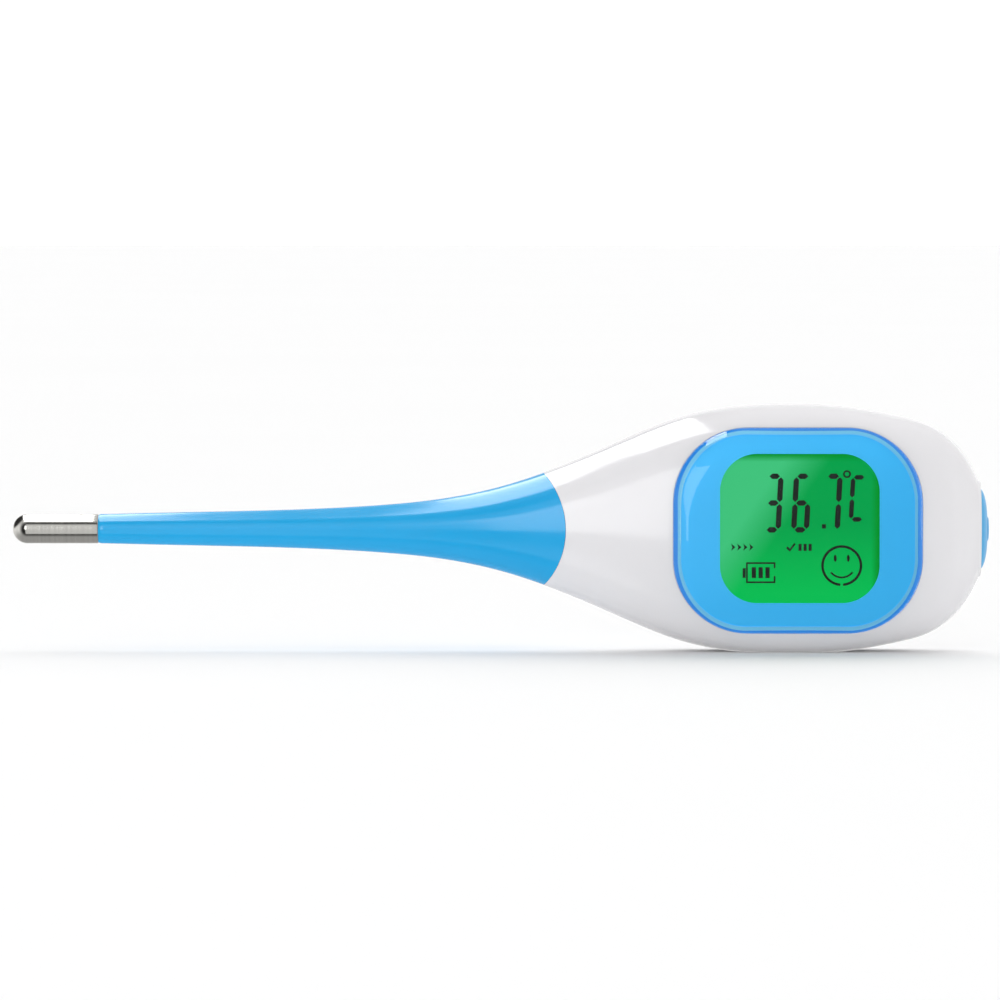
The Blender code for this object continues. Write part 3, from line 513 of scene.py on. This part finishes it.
def plate_over(name, size, corner, centre_x, top, bottom, edge_round=0.0, rings=14):
    """A plate with a rounded outline between two surfaces that give y; edge_round softens its outer rim."""
    side = math.copysign(1, top(centre_x, AXIS_Z))
    inside = inset_outline(size, corner, edge_round)
    grid_top = [over(inside, centre_x, AXIS_Z, top, i / (rings - 1)) for i in range(rings)]
    steps = 8 if edge_round else 0
    for j in range(1, steps + 1):
        turn = math.pi / 2 * j / steps
        inset = edge_round * (1 - math.sin(turn))
        drop = edge_round * (1 - math.cos(turn))
        row = over(inset_outline(size, corner, inset), centre_x, AXIS_Z, top)
        grid_top.append([Vector((p.x, p.y - side * drop, p.z)) for p in row])
    outline = rounded(size, corner)
    grid_bottom = [over(outline, centre_x, AXIS_Z, bottom, i / (rings - 1)) for i in range(rings)]
    return skins(name, (grid_top, grid_bottom[::-1]))


def front_shell():
    shell = half_shell("front_shell_skin", -1, FRONT_WALL)
    slack = 0.04 * MM
    pocket_size = [s + 2 * slack for s in LENS_SIZE]
    cut(shell, plate_over("cut_pocket", pocket_size, LENS_CORNER + slack, LENS_X, level(FRONT_OF_ALL),
                          sunk(-1, 1.2 * MM)))
    opening = rounded((25.4 * MM, 23.8 * MM), 1.5 * MM)
    outer = [over(opening, VIEW_X, VIEW_Z, level(FRONT_OF_ALL), s) for s in (0.0, 1.0)]
    inner = [over(opening, VIEW_X, VIEW_Z, level(-3 * MM), s) for s in (1.0, 0.0)]
    cut(shell, skins("cut_window", (outer, inner)))
    place_piece(shell, WHITE, "body", "front_shell")


def rear_shell():
    """The rear half, with the battery bay, the screw's post and the pocket of the battery cover."""
    shell = half_shell("rear_shell_skin", 1, REAR_WALL)
    cut(shell, rod("bay", CELL_X, BAY_FLOOR[0], 8.2 * MM, BAY_RADIUS + BAY_WALL), "UNION")
    cut(shell, rod("post", SCREW_X, BAY_FLOOR[0], 7.6 * MM, 3.2 * MM), "UNION")
    slack = 0.08 * MM
    pocket_size = [s + 2 * slack for s in COVER_SIZE]
    cut(shell, plate_over("cut_pocket", pocket_size, COVER_CORNER + slack, COVER_X, level(BACK_OF_ALL),
                          sunk(1, COVER_POCKET)))
    cut(shell, rod("cut_cell", CELL_X, BAY_FLOOR[1], BACK_OF_ALL, BAY_RADIUS))
    # name, ends along X, far end along Y, half height: the openings for the two battery contacts
    for name, start, end, far, reach in (("cut_slot", 41.4 * MM, 50.4 * MM, 5 * MM, 2.7 * MM),
                                         ("cut_clip", 54.6 * MM, 56.3 * MM, 7 * MM, 2.6 * MM)):
        cut(shell, box_mesh(name, (start, 1 * MM, AXIS_Z - reach), (end, far, AXIS_Z + reach)))
    cut(shell, rod("cut_seat", SCREW_X, 6.7 * MM, 12 * MM, 2.5 * MM))
    cut(shell, rod("cut_hole", SCREW_X, 3.6 * MM, 12 * MM, 0.85 * MM, 32))
    place_piece(shell, WHITE, "body", "rear_shell")


# ---------------------------------------------------------------- probe


def probe_stem():
    """The soft stem, with the spigot that carries the cap."""
    rows = 170
    turns = full_turn(72)
    start_x = CAP_HIGH.x + HAIRLINE
    outer, inner = [], []
    ends = [(joint_at(t, 0.0, -HAIRLINE), joint_at(t, STEM_WALL, -HAIRLINE)) for t in turns]
    for i in range(rows + 1):
        share = i / rows
        xs = [start_x + (end - start_x) * share for end, _ in ends]
        outer.append([around(x, t) for x, t in zip(xs, turns)])
        xs = [start_x + (end - start_x) * share for _, end in ends]
        inner.append([around(x, t, min(STEM_WALL, half_height(x) - STEM_BORE)) for x, t in zip(xs, turns)])
    first = start_x - SPIGOT_LENGTH

    def collar(x, radius):
        return [Vector((x, radius * math.cos(t), AXIS_Z + radius * math.sin(t))) for t in turns]

    lip = [p.lerp(Vector((p.x, 0, AXIS_Z)), 0.04) for p in outer[0]]
    outer = [collar(first, SPIGOT_RADIUS), collar(start_x, SPIGOT_RADIUS), lip] + outer[1:]
    inner = [collar(first, STEM_BORE), collar(start_x, STEM_BORE), *inner[1:]]
    stem = skins("probe_stem_skin", (outer, inner[::-1]))
    finish(stem, BLUE)
    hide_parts("probe_stem")
    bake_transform(stem)


def leads():
    """The two sensor leads."""
    for node, slot, colour in (("sensor_lead_a", "lead_red", (0.5, 0.03, 0.03)),
                               ("sensor_lead_b", "lead_grey", (0.55, 0.55, 0.55))):
        side = 1 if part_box(node)[0].z > AXIS_Z - 1 * MM else -1
        tip_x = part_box(node)[0].x
        # x in metres, then y and the distance from the axis in millimetres
        route = [(x, 0, 0.42) for x in (tip_x, -50 * MM, -40 * MM, -33 * MM, -26 * MM, -16 * MM, 0)]
        route += [(6 * MM, -0.5, 0.7), (10 * MM, -1.1, 1.4), (16 * MM, -1.1, 2.0)]
        fine = []
        for a, b in zip(route, route[1:]):
            for k in range(6):
                fine.append([a[i] + (b[i] - a[i]) * k / 6 for i in range(3)])
        fine.append(route[-1])
        turns = full_turn(12)
        radius = 0.22 * MM
        bm = bmesh.new()
        rows = [[bm.verts.new((x, y * MM + radius * math.cos(t), AXIS_Z + side * z * MM + radius * math.sin(t)))
                 for t in turns] for x, y, z in fine]
        bridge(bm, rows)
        bm.faces.new(rows[0])
        bm.faces.new(rows[-1])
        wire = object_from(node + "_skin", bm)
        finish(wire, plastic(node + "_jacket", colour, 0.4))
        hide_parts(node)
        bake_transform(wire)


def probe_cap():
    radius = (CAP_HIGH.z - CAP_LOW.z) / 2
    wall = 0.25 * MM
    nose = CAP_LOW.x + radius
    rim = CAP_HIGH.x
    turns = [math.pi / 2 * j / 28 for j in range(29)]
    outer = [(radius * math.sin(t), radius * math.cos(t) - nose) for t in turns]
    body = [(radius, -nose + (nose - rim) * k / 12) for k in range(1, 12)]
    lip = [(radius - wall / 2 + wall / 2 * math.cos(t), -rim + 0.12 * MM - wall / 2 * math.sin(t))
           for t in [math.pi * j / 8 for j in range(9)]]
    inner = [((radius - wall) * math.sin(t), (radius - wall) * math.cos(t) - nose) for t in turns[::-1]]
    cap = turned("probe_cap_skin", outer + body + lip + inner, (0, 0, AXIS_Z), (-1, 0, 0), 96)
    place_piece(cap, STEEL, "probe_tip", "probe_cap")


# ---------------------------------------------------------------- display


def lens_front(x, z):
    """The lens stands proud of the skin and is flatter than it."""
    thick = half_thickness(LENS_X, -1)
    return -(thick + LENS_PROUD - LENS_FLATTENING * (thick + skin_y(x, z, -1)))


def display():
    """The lens, the blue film behind it with its window, and round its rim a dark line of painted shade and a
    light line of painted highlight.
    """
    lens_back = sunk(-1, 0.35 * MM)
    lens = plate_over("display_lens_skin", LENS_SIZE, LENS_CORNER, LENS_X, lens_front, lens_back,
                      LENS_ROUND, 24)
    place_piece(lens, CLEAR, "body", "display_lens")

    outer = rounded([s - 0.1 * MM for s in LENS_SIZE], LENS_CORNER - 0.05 * MM)
    view = rounded(VIEW_SIZE, VIEW_CORNER)
    shift_x, shift_z = VIEW_X - LENS_X, VIEW_Z - AXIS_Z
    grids = []
    for depth in (0.45 * MM, 0.6 * MM):
        grid = []
        for i in range(13):
            t = i / 12
            ring = [(ox + (vx + shift_x - ox) * t, oz + (vz + shift_z - oz) * t)
                    for (ox, oz), (vx, vz) in zip(outer, view)]
            grid.append(over(ring, LENS_X, AXIS_Z, sunk(-1, depth)))
        grids.append(grid)
    film = skins("lens_border_film_skin", (grids[0], grids[1][::-1]))
    place_piece(film, FILM_BLUE_PAINTED_GLOW, "body", "lens_border_film")
    # Round the rim: a dark line of painted shade where the lens's side wall is shaded, and a light line of
    # painted highlight where its rounded edge catches the lights.
    for name, made, start, end in (("lens_rim_painted_shade", RIM_PAINTED_SHADE, 0.06 * MM, 0.9 * MM),
                                   ("lens_painted_highlight_line", HIGHLIGHT_LINE_BLUE, 0.9 * MM, 1.2 * MM)):
        corners = ((start, 0.39 * MM), (end, 0.39 * MM), (end, 0.43 * MM), (start, 0.43 * MM))
        rows = [over(inset_outline(LENS_SIZE, LENS_CORNER, inset), LENS_X, AXIS_Z, sunk(-1, depth))
                for inset, depth in corners]
        place_piece(skins(name, (rows[:2], rows[2:])), made, "body")
    lcd()


def lcd():
    """The lit panel: glass whose backlight is brighter at its lower edge, with a painted reflection of a
    softbox lighter to the upper left and painted shade darker along its right and top edges.
    """
    panel = box_mesh("lcd_panel_skin", LCD_LOW, LCD_HIGH)
    bevel = panel.modifiers.new("edges", "BEVEL")
    bevel.width = 0.15 * MM
    bevel.segments = 2
    made, tree, shader = principled("lit_lcd_painted_light", (0.002, 0.015, 0.004), 0.5)
    shader.inputs["Specular IOR Level"].default_value = 0.1
    place = tree.nodes.new("ShaderNodeTexCoord")
    split = tree.nodes.new("ShaderNodeSeparateXYZ")
    tree.links.new(place.outputs["Object"], split.inputs[0])

    def across(socket, low, high):
        node = tree.nodes.new("ShaderNodeMapRange")
        node.inputs["From Min"].default_value = low
        node.inputs["From Max"].default_value = high
        tree.links.new(socket, node.inputs["Value"])
        return node.outputs["Result"]

    def mixed(factor, first, second):
        node = tree.nodes.new("ShaderNodeMix")
        node.data_type = "RGBA"
        tree.links.new(factor, node.inputs[0])
        for socket, value in ((node.inputs[6], first), (node.inputs[7], second)):
            if isinstance(value, tuple):
                socket.default_value = (*value, 1)
            else:
                tree.links.new(value, socket)
        return node.outputs[2]

    upward = across(split.outputs["Z"], LCD_LOW.z + 2 * MM, LCD_LOW.z + 12 * MM)
    edge_x, edge_z = VIEW_X + VIEW_SIZE[0] / 2, VIEW_Z + VIEW_SIZE[1] / 2
    # Painted shade: the glow darkens along the window's right and top edges, where the film's edge shades the
    # recessed panel.
    right_painted_shade = across(split.outputs["X"], edge_x - 1.1 * MM, edge_x - 0.1 * MM)
    top_painted_shade = across(split.outputs["Z"], edge_z - 1.1 * MM, edge_z - 0.1 * MM)
    # Painted reflection: a lighter band to the upper left of a diagonal stands in for a softbox seen in the
    # lens.
    slope = tree.nodes.new("ShaderNodeMath")
    slope.operation = "MULTIPLY_ADD"
    slope.inputs[1].default_value = 0.7
    tree.links.new(split.outputs["Z"], slope.inputs[0])
    lean = tree.nodes.new("ShaderNodeMath")
    lean.operation = "MULTIPLY"
    lean.inputs[1].default_value = -1.0
    tree.links.new(split.outputs["X"], lean.inputs[0])
    tree.links.new(lean.outputs[0], slope.inputs[2])
    middle = 0.7 * AXIS_Z - VIEW_X
    painted_reflection_mask = across(slope.outputs[0], middle + 2.5 * MM, middle + 9 * MM)
    backlight_and_painted_light = mixed(upward, (0.002, 0.48, 0.08), (0.001, 0.335, 0.065))
    # The upper-left band is a painted reflection, not a brighter backlight.
    backlight_and_painted_light = mixed(painted_reflection_mask, backlight_and_painted_light, (0.052, 0.52, 0.19))
    # These edges get painted shade, a darker green.
    for edge in (right_painted_shade, top_painted_shade):
        backlight_and_painted_light = mixed(edge, backlight_and_painted_light, (0.001, 0.27, 0.02))
    tree.links.new(backlight_and_painted_light, shader.inputs["Emission Color"])
    shader.inputs["Emission Strength"].default_value = 1.13
    place_piece(panel, made, "body", "lcd_panel")
    symbols(LCD_LOW.y - 0.03 * MM)


# Segments of each figure, left edge, lower edge, width, height and stroke, in millimetres
FIGURES = (
    ("abcdg", 37.45, -0.33, 2.55, 8.47, 0.78),
    ("acdefg", 41.45, -0.33, 2.60, 8.47, 0.78),
    ("abc", 45.85, -0.33, 2.60, 8.47, 0.78),
    ("adef", 49.70, 1.23, 2.35, 6.70, 0.66),
)
SLANT = math.tan(math.radians(3))


def bar(a, b, stroke):
    """A straight stroke from a to b with pointed ends, a little short of both."""
    along = Vector((b[0] - a[0], b[1] - a[1])).normalized()
    across = Vector((-along.y, along.x)) * stroke / 2
    a, b = Vector(a) + along * (stroke * 0.16), Vector(b) - along * (stroke * 0.16)
    tip = along * stroke / 2
    return [a, a + tip + across, b - tip + across, b, b - tip - across, a + tip - across]


def figure(letters, left, low, width, height, stroke):
    """The strokes of one slanted seven-segment figure."""
    x0, x1 = stroke / 2, width - stroke / 2
    y0, y1, y2 = stroke / 2, height / 2, height - stroke / 2
    places = {"a": ((x0, y2), (x1, y2)), "b": ((x1, y2), (x1, y1)), "c": ((x1, y1), (x1, y0)),
              "d": ((x0, y0), (x1, y0)), "e": ((x0, y1), (x0, y0)), "f": ((x0, y2), (x0, y1)),
              "g": ((x0, y1), (x1, y1))}
    return [[(left + p.x + SLANT * p.y, low + p.y) for p in bar(*places[letter], stroke)] for letter in letters]


def arc(cx, cz, radius, start, end, stroke, count=24):
    """A curved stroke, from start to end in degrees, as blocks side by side."""
    blocks = []
    for k in range(count):
        a, b = (math.radians(start + (end - start) * n / count) for n in (k, k + 1))
        inner, outer = radius - stroke / 2, radius + stroke / 2
        corners = ((inner, a), (outer, a), (outer, b), (inner, b))
        blocks.append([(cx + r * math.cos(t), cz + r * math.sin(t)) for r, t in corners])
    return blocks


def block(x0, z0, x1, z1):
    return [(x0, z0), (x1, z0), (x1, z1), (x0, z1)]


def symbols(front_y):
    """The dark figures of the LCD, millimetres right of the body's middle and above its axis."""
    shapes = [stroke for values in FIGURES for stroke in figure(*values)]
    # the decimal point and the degree sign
    shapes.append(block(45.90, 0.25, 46.48, 0.86))
    shapes += arc(49.48, 8.06, 0.44, 0, 360, 0.26)
    # four arrowheads
    for k in range(4):
        x, z = 32.9 + 0.86 * k, -2.42
        shapes.append([(x, z - 0.52), (x + 0.62, z), (x, z + 0.52), (x + 0.18, z)])
    # a tick and three short bars, where the display names its state
    shapes.append([(40.75, -2.55), (41.0, -2.3), (41.3, -2.65), (41.95, -1.8), (42.15, -2.0), (41.32, -3.05)])
    for k in range(3):
        shapes.append(block(42.55 + 0.72 * k, -2.95, 43.0 + 0.72 * k, -1.95))
    # a battery, open at the right, with three bars of charge
    frame_line = 0.24
    x0, x1, z0, z1 = 35.05, 39.25, -7.58, -4.58
    shapes += [block(x0, z0, x1, z0 + frame_line), block(x0, z1 - frame_line, x1, z1),
               block(x0, z0 + frame_line, x0 + frame_line, z1 - frame_line),
               block(x1 - frame_line, z0 + frame_line, x1, z0 + 1.0),
               block(x1 - frame_line, z1 - 0.85, x1, z1 - frame_line),
               block(x0 - 0.5, z0 + 0.75, x0 - 0.06, z1 - 0.85)]
    for k in range(3):
        shapes.append(block(35.85 + 0.98 * k, z0 + 0.72, 36.47 + 0.98 * k, z1 - 0.72))
    # a plain smiling face
    cx, cz, radius = 48.74, -5.07, 2.75
    shapes += arc(cx, cz, radius, -86, 266, 0.36, 72)
    for side in (-1, 1):
        eye = [(cx + side * 0.93 + 0.21 * math.cos(t), cz + 1.05 + 0.50 * math.sin(t))
               for t in full_turn(20)]
        shapes.append(eye)
    shapes += arc(cx, cz + 0.25, 1.95, 218, 322, 0.26)

    bm = bmesh.new()
    for shape in shapes:
        front = [bm.verts.new((x * MM, front_y, AXIS_Z + z * MM)) for x, z in shape]
        back = [bm.verts.new((x * MM, front_y + 0.02 * MM, AXIS_Z + z * MM)) for x, z in shape]
        count = len(shape)
        bm.faces.new(front)
        bm.faces.new(back[::-1])
        for j in range(count):
            k = (j + 1) % count
            bm.faces.new((front[j], front[k], back[k], back[j]))
    bmesh.ops.triangulate(bm, faces=bm.faces)
    figures = object_from("lcd_figures", bm)
    dark = plastic("lcd_dark", (0.018, 0.022, 0.016), 0.5)
    place_piece(figures, dark)


# ---------------------------------------------------------------- button, cover, cell


def power_button():
    """The key with its flange and stem, and a raised ring on its face."""
    turns = full_turn(96)
    flange = ((KEY_HIGH.z - KEY_LOW.z) / 2, (KEY_HIGH.y - KEY_LOW.y) / 2)
    high, thick = flange[0] - 0.9 * MM, flange[1] - 0.35 * MM
    crown = KEY_HIGH.x
    flange_x, flange_end = 65.6 * MM, 66.3 * MM
    rows = [oval(flange_x, (0, 0), turns), oval(flange_x, flange, turns),
            oval(flange_end, flange, turns), oval(flange_end, (high, thick), turns)]
    base = END_X - 0.2 * MM
    rise = crown - 0.15 * MM - base
    for j in range(25):
        turn = math.pi / 2 * j / 24
        share = math.cos(turn) ** 0.8
        rows.append(oval(base + rise * math.sin(turn), (high * share, thick * share), turns))
    bm = bmesh.new()
    bridge(bm, [[bm.verts.new(p) for p in row] for row in rows])
    bmesh.ops.remove_doubles(bm, verts=bm.verts, dist=WELD_DISTANCE)
    key = object_from("power_button_skin", bm)
    stem = box_mesh("stem", (63.4 * MM, -3.2 * MM, AXIS_Z - 1 * MM), (65.9 * MM, -1.2 * MM, AXIS_Z + 1 * MM))
    cut(key, stem, "UNION")
    place_piece(key, KEY_BLUE, "key", "power_button")
    # radius and depth under the crown, in millimetres
    mark = ((1.30, 0.55), (1.75, 0.30), (1.72, 0.12), (1.55, 0.02), (1.35, 0.02), (1.18, 0.12), (1.16, 0.5),
            (1.30, 0.55))
    profile = [(radius * MM, crown - depth * MM) for radius, depth in mark]
    ring = turned("power_button_ring", profile, (0, 0, AXIS_Z), (1, 0, 0), 64, 60)
    place_piece(ring, KEY_BLUE, "key")


def battery_cover():
    """The cover with its screw boss, and five grip ribs that get shorter towards the button."""
    cover = plate_over("battery_cover_skin", COVER_SIZE, COVER_CORNER, COVER_X, sunk(1, 0.0),
                       sunk(1, COVER_THICKNESS), 0.35 * MM, 26)
    cut(cover, rod("boss", SCREW_X, 6.95 * MM, 8.7 * MM, 2.25 * MM), "UNION")
    cut(cover, rod("cut_head", SCREW_X, 8.2 * MM, 12 * MM, 1.8 * MM))
    cut(cover, rod("cut_shaft", SCREW_X, 5 * MM, 12 * MM, 0.9 * MM))
    place_piece(cover, WHITE, "cover", "battery_cover")
    ribs = bmesh.new()
    for k in range(5):
        x = 53.4 * MM + 1.25 * MM * k
        reach = (4.6 - 0.45 * k) * MM
        steps = 14
        rows = []
        for i in range(steps + 1):
            z = AXIS_Z - reach + 2 * reach * i / steps
            end = math.sqrt(max(1 - (2 * i / steps - 1) ** 4, 0.0))
            row = []
            for j in range(9):
                turn = math.pi * j / 8
                px = x + 0.3 * MM * math.cos(turn)
                py = skin_y(px, z, 1) - 0.02 * MM + 0.22 * MM * end * math.sin(turn)
                row.append(ribs.verts.new((px, py, z)))
            rows.append(row)
        bridge(ribs, rows)
        ribs.faces.new(rows[0])
        ribs.faces.new(rows[-1][::-1])
    grip = object_from("cover_grip_ribs", ribs)
    place_piece(grip, WHITE, "cover")


def cover_screw():
    """The captive screw: a rounded head with a cross slot, and rings for its thread."""
    x = SCREW_X
    high, low = SCREW_HIGH.y, SCREW_LOW.y
    under = high - 0.77 * MM
    radius = (SCREW_HIGH.x - SCREW_LOW.x) / 2
    shape = [(0, high), (radius - 0.35 * MM, high - 0.02 * MM), (radius - 0.12 * MM, high - 0.1 * MM),
             (radius, high - 0.28 * MM), (radius, under), (0.75 * MM, under)]
    y = under
    while y > low + 0.8 * MM:
        shape += [(0.75 * MM, y - 0.05 * MM), (0.62 * MM, y - 0.2 * MM), (0.62 * MM, y - 0.25 * MM)]
        y -= 0.4 * MM
    shape += [(0.6 * MM, low + 0.4 * MM), (0.35 * MM, low), (0, low)]
    screw = turned("battery_screw_skin", shape, (x, 0, AXIS_Z), (0, 1, 0), 64)
    for size in ((1.1 * MM, 0.2 * MM), (0.2 * MM, 1.1 * MM)):
        corner_low = (x - size[0], high - 0.45 * MM, AXIS_Z - size[1])
        corner_high = (x + size[0], high + 1 * MM, AXIS_Z + size[1])
        cut(screw, box_mesh("cut_slot", corner_low, corner_high))
    place_piece(screw, BARE_STEEL, "screw", "battery_screw")


def coin_cell():
    """The cell: its can with a rolled edge and a plus sign, over the smaller negative face."""
    x = CELL_X
    radius = (CELL_HIGH.x - CELL_LOW.x) / 2
    high, low = CELL_HIGH.y, CELL_LOW.y
    edge = 0.35 * MM
    can = [(0, high), (radius - edge - 1.2 * MM, high), (radius - edge - 1.1 * MM, high - 0.06 * MM),
           (radius - edge - 0.6 * MM, high - 0.06 * MM), (radius - edge - 0.5 * MM, high)]
    can += [(radius - edge + edge * math.sin(t), high - edge + edge * math.cos(t))
            for t in [math.pi / 2 * k / 6 for k in range(7)]]
    can += [(radius, low + 0.55 * MM), (radius - 0.3 * MM, low + 0.35 * MM),
            (radius - 0.9 * MM, low + 0.3 * MM), (radius - 1.1 * MM, low), (0, low)]
    cell = turned("coin_cell_skin", can, (x, 0, AXIS_Z), (0, 1, 0), 96)
    arms = []
    for size in ((2.2 * MM, 0.35 * MM), (0.35 * MM, 2.2 * MM)):
        arms.append(box_mesh("cut_plus", (x - size[0], high - 0.05 * MM, AXIS_Z - size[1]),
                             (x + size[0], high + 1 * MM, AXIS_Z + size[1])))
    for arm in arms:
        cut(cell, arm)
    place_piece(cell, BARE_STEEL, "cell", "coin_cell")


def cad_pieces():
    """Pieces that keep their CAD shape, with a finer material."""
    looks = {
        "lens_gasket": RUBBER, "cover_seal": RUBBER,
        "light_guide": plastic("light_guide_plastic", (0.75, 0.9, 0.78), 0.2),
        "backlight_led_upper": plastic("led_resin", (0.9, 0.82, 0.35), 0.3),
        "zebra_connector": plastic("zebra_rubber", (0.25, 0.25, 0.3), 0.7, 0.4, 2500.0),
        "lcd_frame": plastic("frame_plastic", (0.78, 0.78, 0.78), 0.5),
        "main_board": plastic("board_laminate", (0.015, 0.17, 0.05), 0.35, 0.3, 1500.0),
        "controller": plastic("controller_resin", (0.015, 0.015, 0.015), 0.25, 0.3),
        "crystal": BARE_STEEL, "capacitor_a": plastic("capacitor_body", (0.4, 0.28, 0.16), 0.5),
        "resistor_a": plastic("resistor_body", (0.02, 0.02, 0.02), 0.4),
        "board_screw_upper": BARE_STEEL, "board_screw_lower": BARE_STEEL,
        "buzzer_disc": metal("buzzer_brass", (0.8, 0.58, 0.26), 0.3),
        "buzzer_ceramic": plastic("buzzer_ceramic_layer", (0.82, 0.8, 0.72), 0.5),
        "contact_negative": SPRING, "contact_positive": SPRING,
        "switch_body": plastic("switch_case", (0.04, 0.04, 0.04), 0.45),
        "switch_plunger": plastic("switch_red_plastic", (0.6, 0.05, 0.04), 0.4),
        "neck_core": plastic("core_plastic", (0.72, 0.72, 0.69), 0.5),
        "thermistor": plastic("thermistor_glass", (0.1, 0.25, 0.12), 0.1),
        "tip_potting": plastic("potting_resin", (0.03, 0.03, 0.03), 0.4),
    }
    twins = {"backlight_led_lower": "backlight_led_upper", "capacitor_b": "capacitor_a",
             "resistor_b": "resistor_a"}
    for node, twin in twins.items():
        looks[node] = looks[twin]
    for node, made in looks.items():
        finish(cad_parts[node], made)


# ---------------------------------------------------------------- stage


def stage():
    """A pale floor, and a white backdrop all round it; neither shows in the object's own gloss."""
    bm = bmesh.new()
    bmesh.ops.create_grid(bm, x_segments=8, y_segments=8, size=9.0)
    plane = object_from("floor", bm)
    made, tree, shader = principled("floor_white", (0.87, 0.87, 0.87), 0.85)
    pale = ramp(tree, noise(tree, 4.0), (0.87, 0.87, 0.87), (0.875, 0.875, 0.875))
    tree.links.new(pale, shader.inputs["Base Color"])
    shader.inputs["Specular IOR Level"].default_value = 0.1
    finish(plane, made)
    bm = bmesh.new()
    bmesh.ops.create_cone(bm, cap_ends=False, segments=64, radius1=8.5, radius2=8.5, depth=8.0)
    wall = object_from("backdrop", bm)
    made, tree, shader = principled("backdrop_white", (0.0, 0.0, 0.0), 1.0)
    white = ramp(tree, noise(tree, 0.5), (1.0, 1.0, 1.0), (1.01, 1.01, 1.01))
    tree.links.new(white, shader.inputs["Emission Color"])
    shader.inputs["Emission Strength"].default_value = 1.05
    finish(wall, made)
    plane.visible_shadow = False
    wall.visible_diffuse = False
    wall.visible_shadow = False
    for obj in (plane, wall):
        obj.visible_glossy = False
        obj.visible_transmission = False


def softbox(name, place, aim, size, radiance):
    """A rectangular light seen only in gloss."""
    data = bpy.data.lights.new(name, "AREA")
    data.shape = "RECTANGLE"
    data.size, data.size_y = size
    data.energy = math.pi * size[0] * size[1] * radiance
    obj = bpy.data.objects.new(name, data)
    bpy.context.scene.collection.objects.link(obj)
    obj.location = place
    obj.rotation_euler = (Vector(aim) - Vector(place)).to_track_quat("-Z", "Y").to_euler()
    obj.visible_camera = False
    obj.visible_diffuse = False


def sun(name, elevation, azimuth, spread, strength):
    """A broad, soft, far light; azimuth 0 is the front."""
    data = bpy.data.lights.new(name, "SUN")
    data.energy = strength
    data.angle = math.radians(spread)
    obj = bpy.data.objects.new(name, data)
    bpy.context.scene.collection.objects.link(obj)
    up, round_z = math.radians(elevation), math.radians(azimuth)
    source = Vector((math.sin(round_z) * math.cos(up), -math.cos(round_z) * math.cos(up), math.sin(up)))
    obj.rotation_euler = source.to_track_quat("Z", "Y").to_euler()
    obj.visible_glossy = False
    obj.visible_transmission = False


def card(name, azimuth, elevation, size, radiance, focus, distance):
    """A softbox that faces a place of the object from a distance; its size is in degrees."""
    turn, up = math.radians(azimuth), math.radians(elevation)
    target = Vector((*focus, AXIS_Z))
    away = Vector((math.sin(turn) * math.cos(up), -math.cos(turn) * math.cos(up), math.sin(up)))
    sides = [2 * distance * math.tan(math.radians(angle) / 2) for angle in size]
    softbox(name, target + away * distance, target, sides, radiance)


# Direction, the cosines between which the room changes, and its brightness before and after
ROOM = (
    ((0, 1, 0), -0.8, -0.35, 0.01, 1.0),
    ((0, 0, 1), -0.8, 0.0, 0.4, 1.0),
    ((0, 0, 1), 0.12, 0.7, 1.0, 0.6),
    ((-0.65, 0.45, 0.61), 0.74, 0.88, 1.0, 0.04),
)


def fade(tree, direction, low, high, before, after):
    """A brightness that changes with the angle to a direction."""
    place = tree.nodes.new("ShaderNodeTexCoord")
    facing = tree.nodes.new("ShaderNodeVectorMath")
    facing.operation = "DOT_PRODUCT"
    facing.inputs[1].default_value = direction
    tree.links.new(place.outputs["Generated"], facing.inputs[0])
    span = tree.nodes.new("ShaderNodeMapRange")
    span.interpolation_type = "SMOOTHSTEP"
    for key, value in (("From Min", low), ("From Max", high), ("To Min", before), ("To Max", after)):
        span.inputs[key].default_value = value
    tree.links.new(facing.outputs["Value"], span.inputs["Value"])
    return span.outputs["Result"]


def studio():
    """A pale room that is dark before the object, soft far lights, and softboxes for the gloss."""
    world = bpy.data.worlds.new("studio")
    bpy.context.scene.world = world
    world.use_nodes = True
    tree = world.node_tree
    room, *others = [fade(tree, *values) for values in ROOM]
    for other in others:
        both = tree.nodes.new("ShaderNodeMath")
        both.operation = "MULTIPLY"
        tree.links.new(room, both.inputs[0])
        tree.links.new(other, both.inputs[1])
        room = both.outputs[0]
    tree.links.new(room, tree.nodes["Background"].inputs["Color"])
    # name, elevation, azimuth, spread in degrees, strength
    sun("back_light", 52, 180, 75, 2.12)
    sun("front_light", 38, -20, 60, 0.75)
    sun("front_fill", 6, -5, 40, 0.75)
    sun("under_light", -35, 0, 60, 0.25)
    card("front_softbox", -19, 9.5, (11, 25), 2.8, focus=(20 * MM, -10 * MM), distance=1.0)
    card("tip_card", 0, -2, (30, 76), 0.72, focus=(-64 * MM, 0), distance=0.12)
    softbox("overhead_softbox", (-0.1475, 0.13, 0.42), (-0.1475, 0.13, 0), (0.145, 0.69), 6.5)
    bpy.context.scene.view_settings.view_transform = "Standard"


def camera():
    """At the front, a little above the floor, with a long lens; the whole length spans the picture."""
    elevation = math.radians(2)
    distance = 1.3
    frame_width = 143.49 * MM
    sensor = 36.0
    data = bpy.data.cameras.new("camera")
    data.sensor_width = sensor
    data.lens = sensor * distance / frame_width
    data.clip_start, data.clip_end = 0.01, 50
    cam = bpy.data.objects.new("camera", data)
    bpy.context.scene.collection.objects.link(cam)
    aim = Vector((-0.09 * MM, 0, AXIS_Z + 4.12 * MM))
    back = Vector((0, -math.cos(elevation), math.sin(elevation)))
    cam.location = aim + back * distance
    cam.rotation_euler = (-back).to_track_quat("-Z", "Y").to_euler()
    bpy.context.scene.camera = cam


camera()
stage()
studio()
front_shell()
rear_shell()
probe_stem()
leads()
probe_cap()
display()
power_button()
battery_cover()
cover_screw()
coin_cell()
cad_pieces()
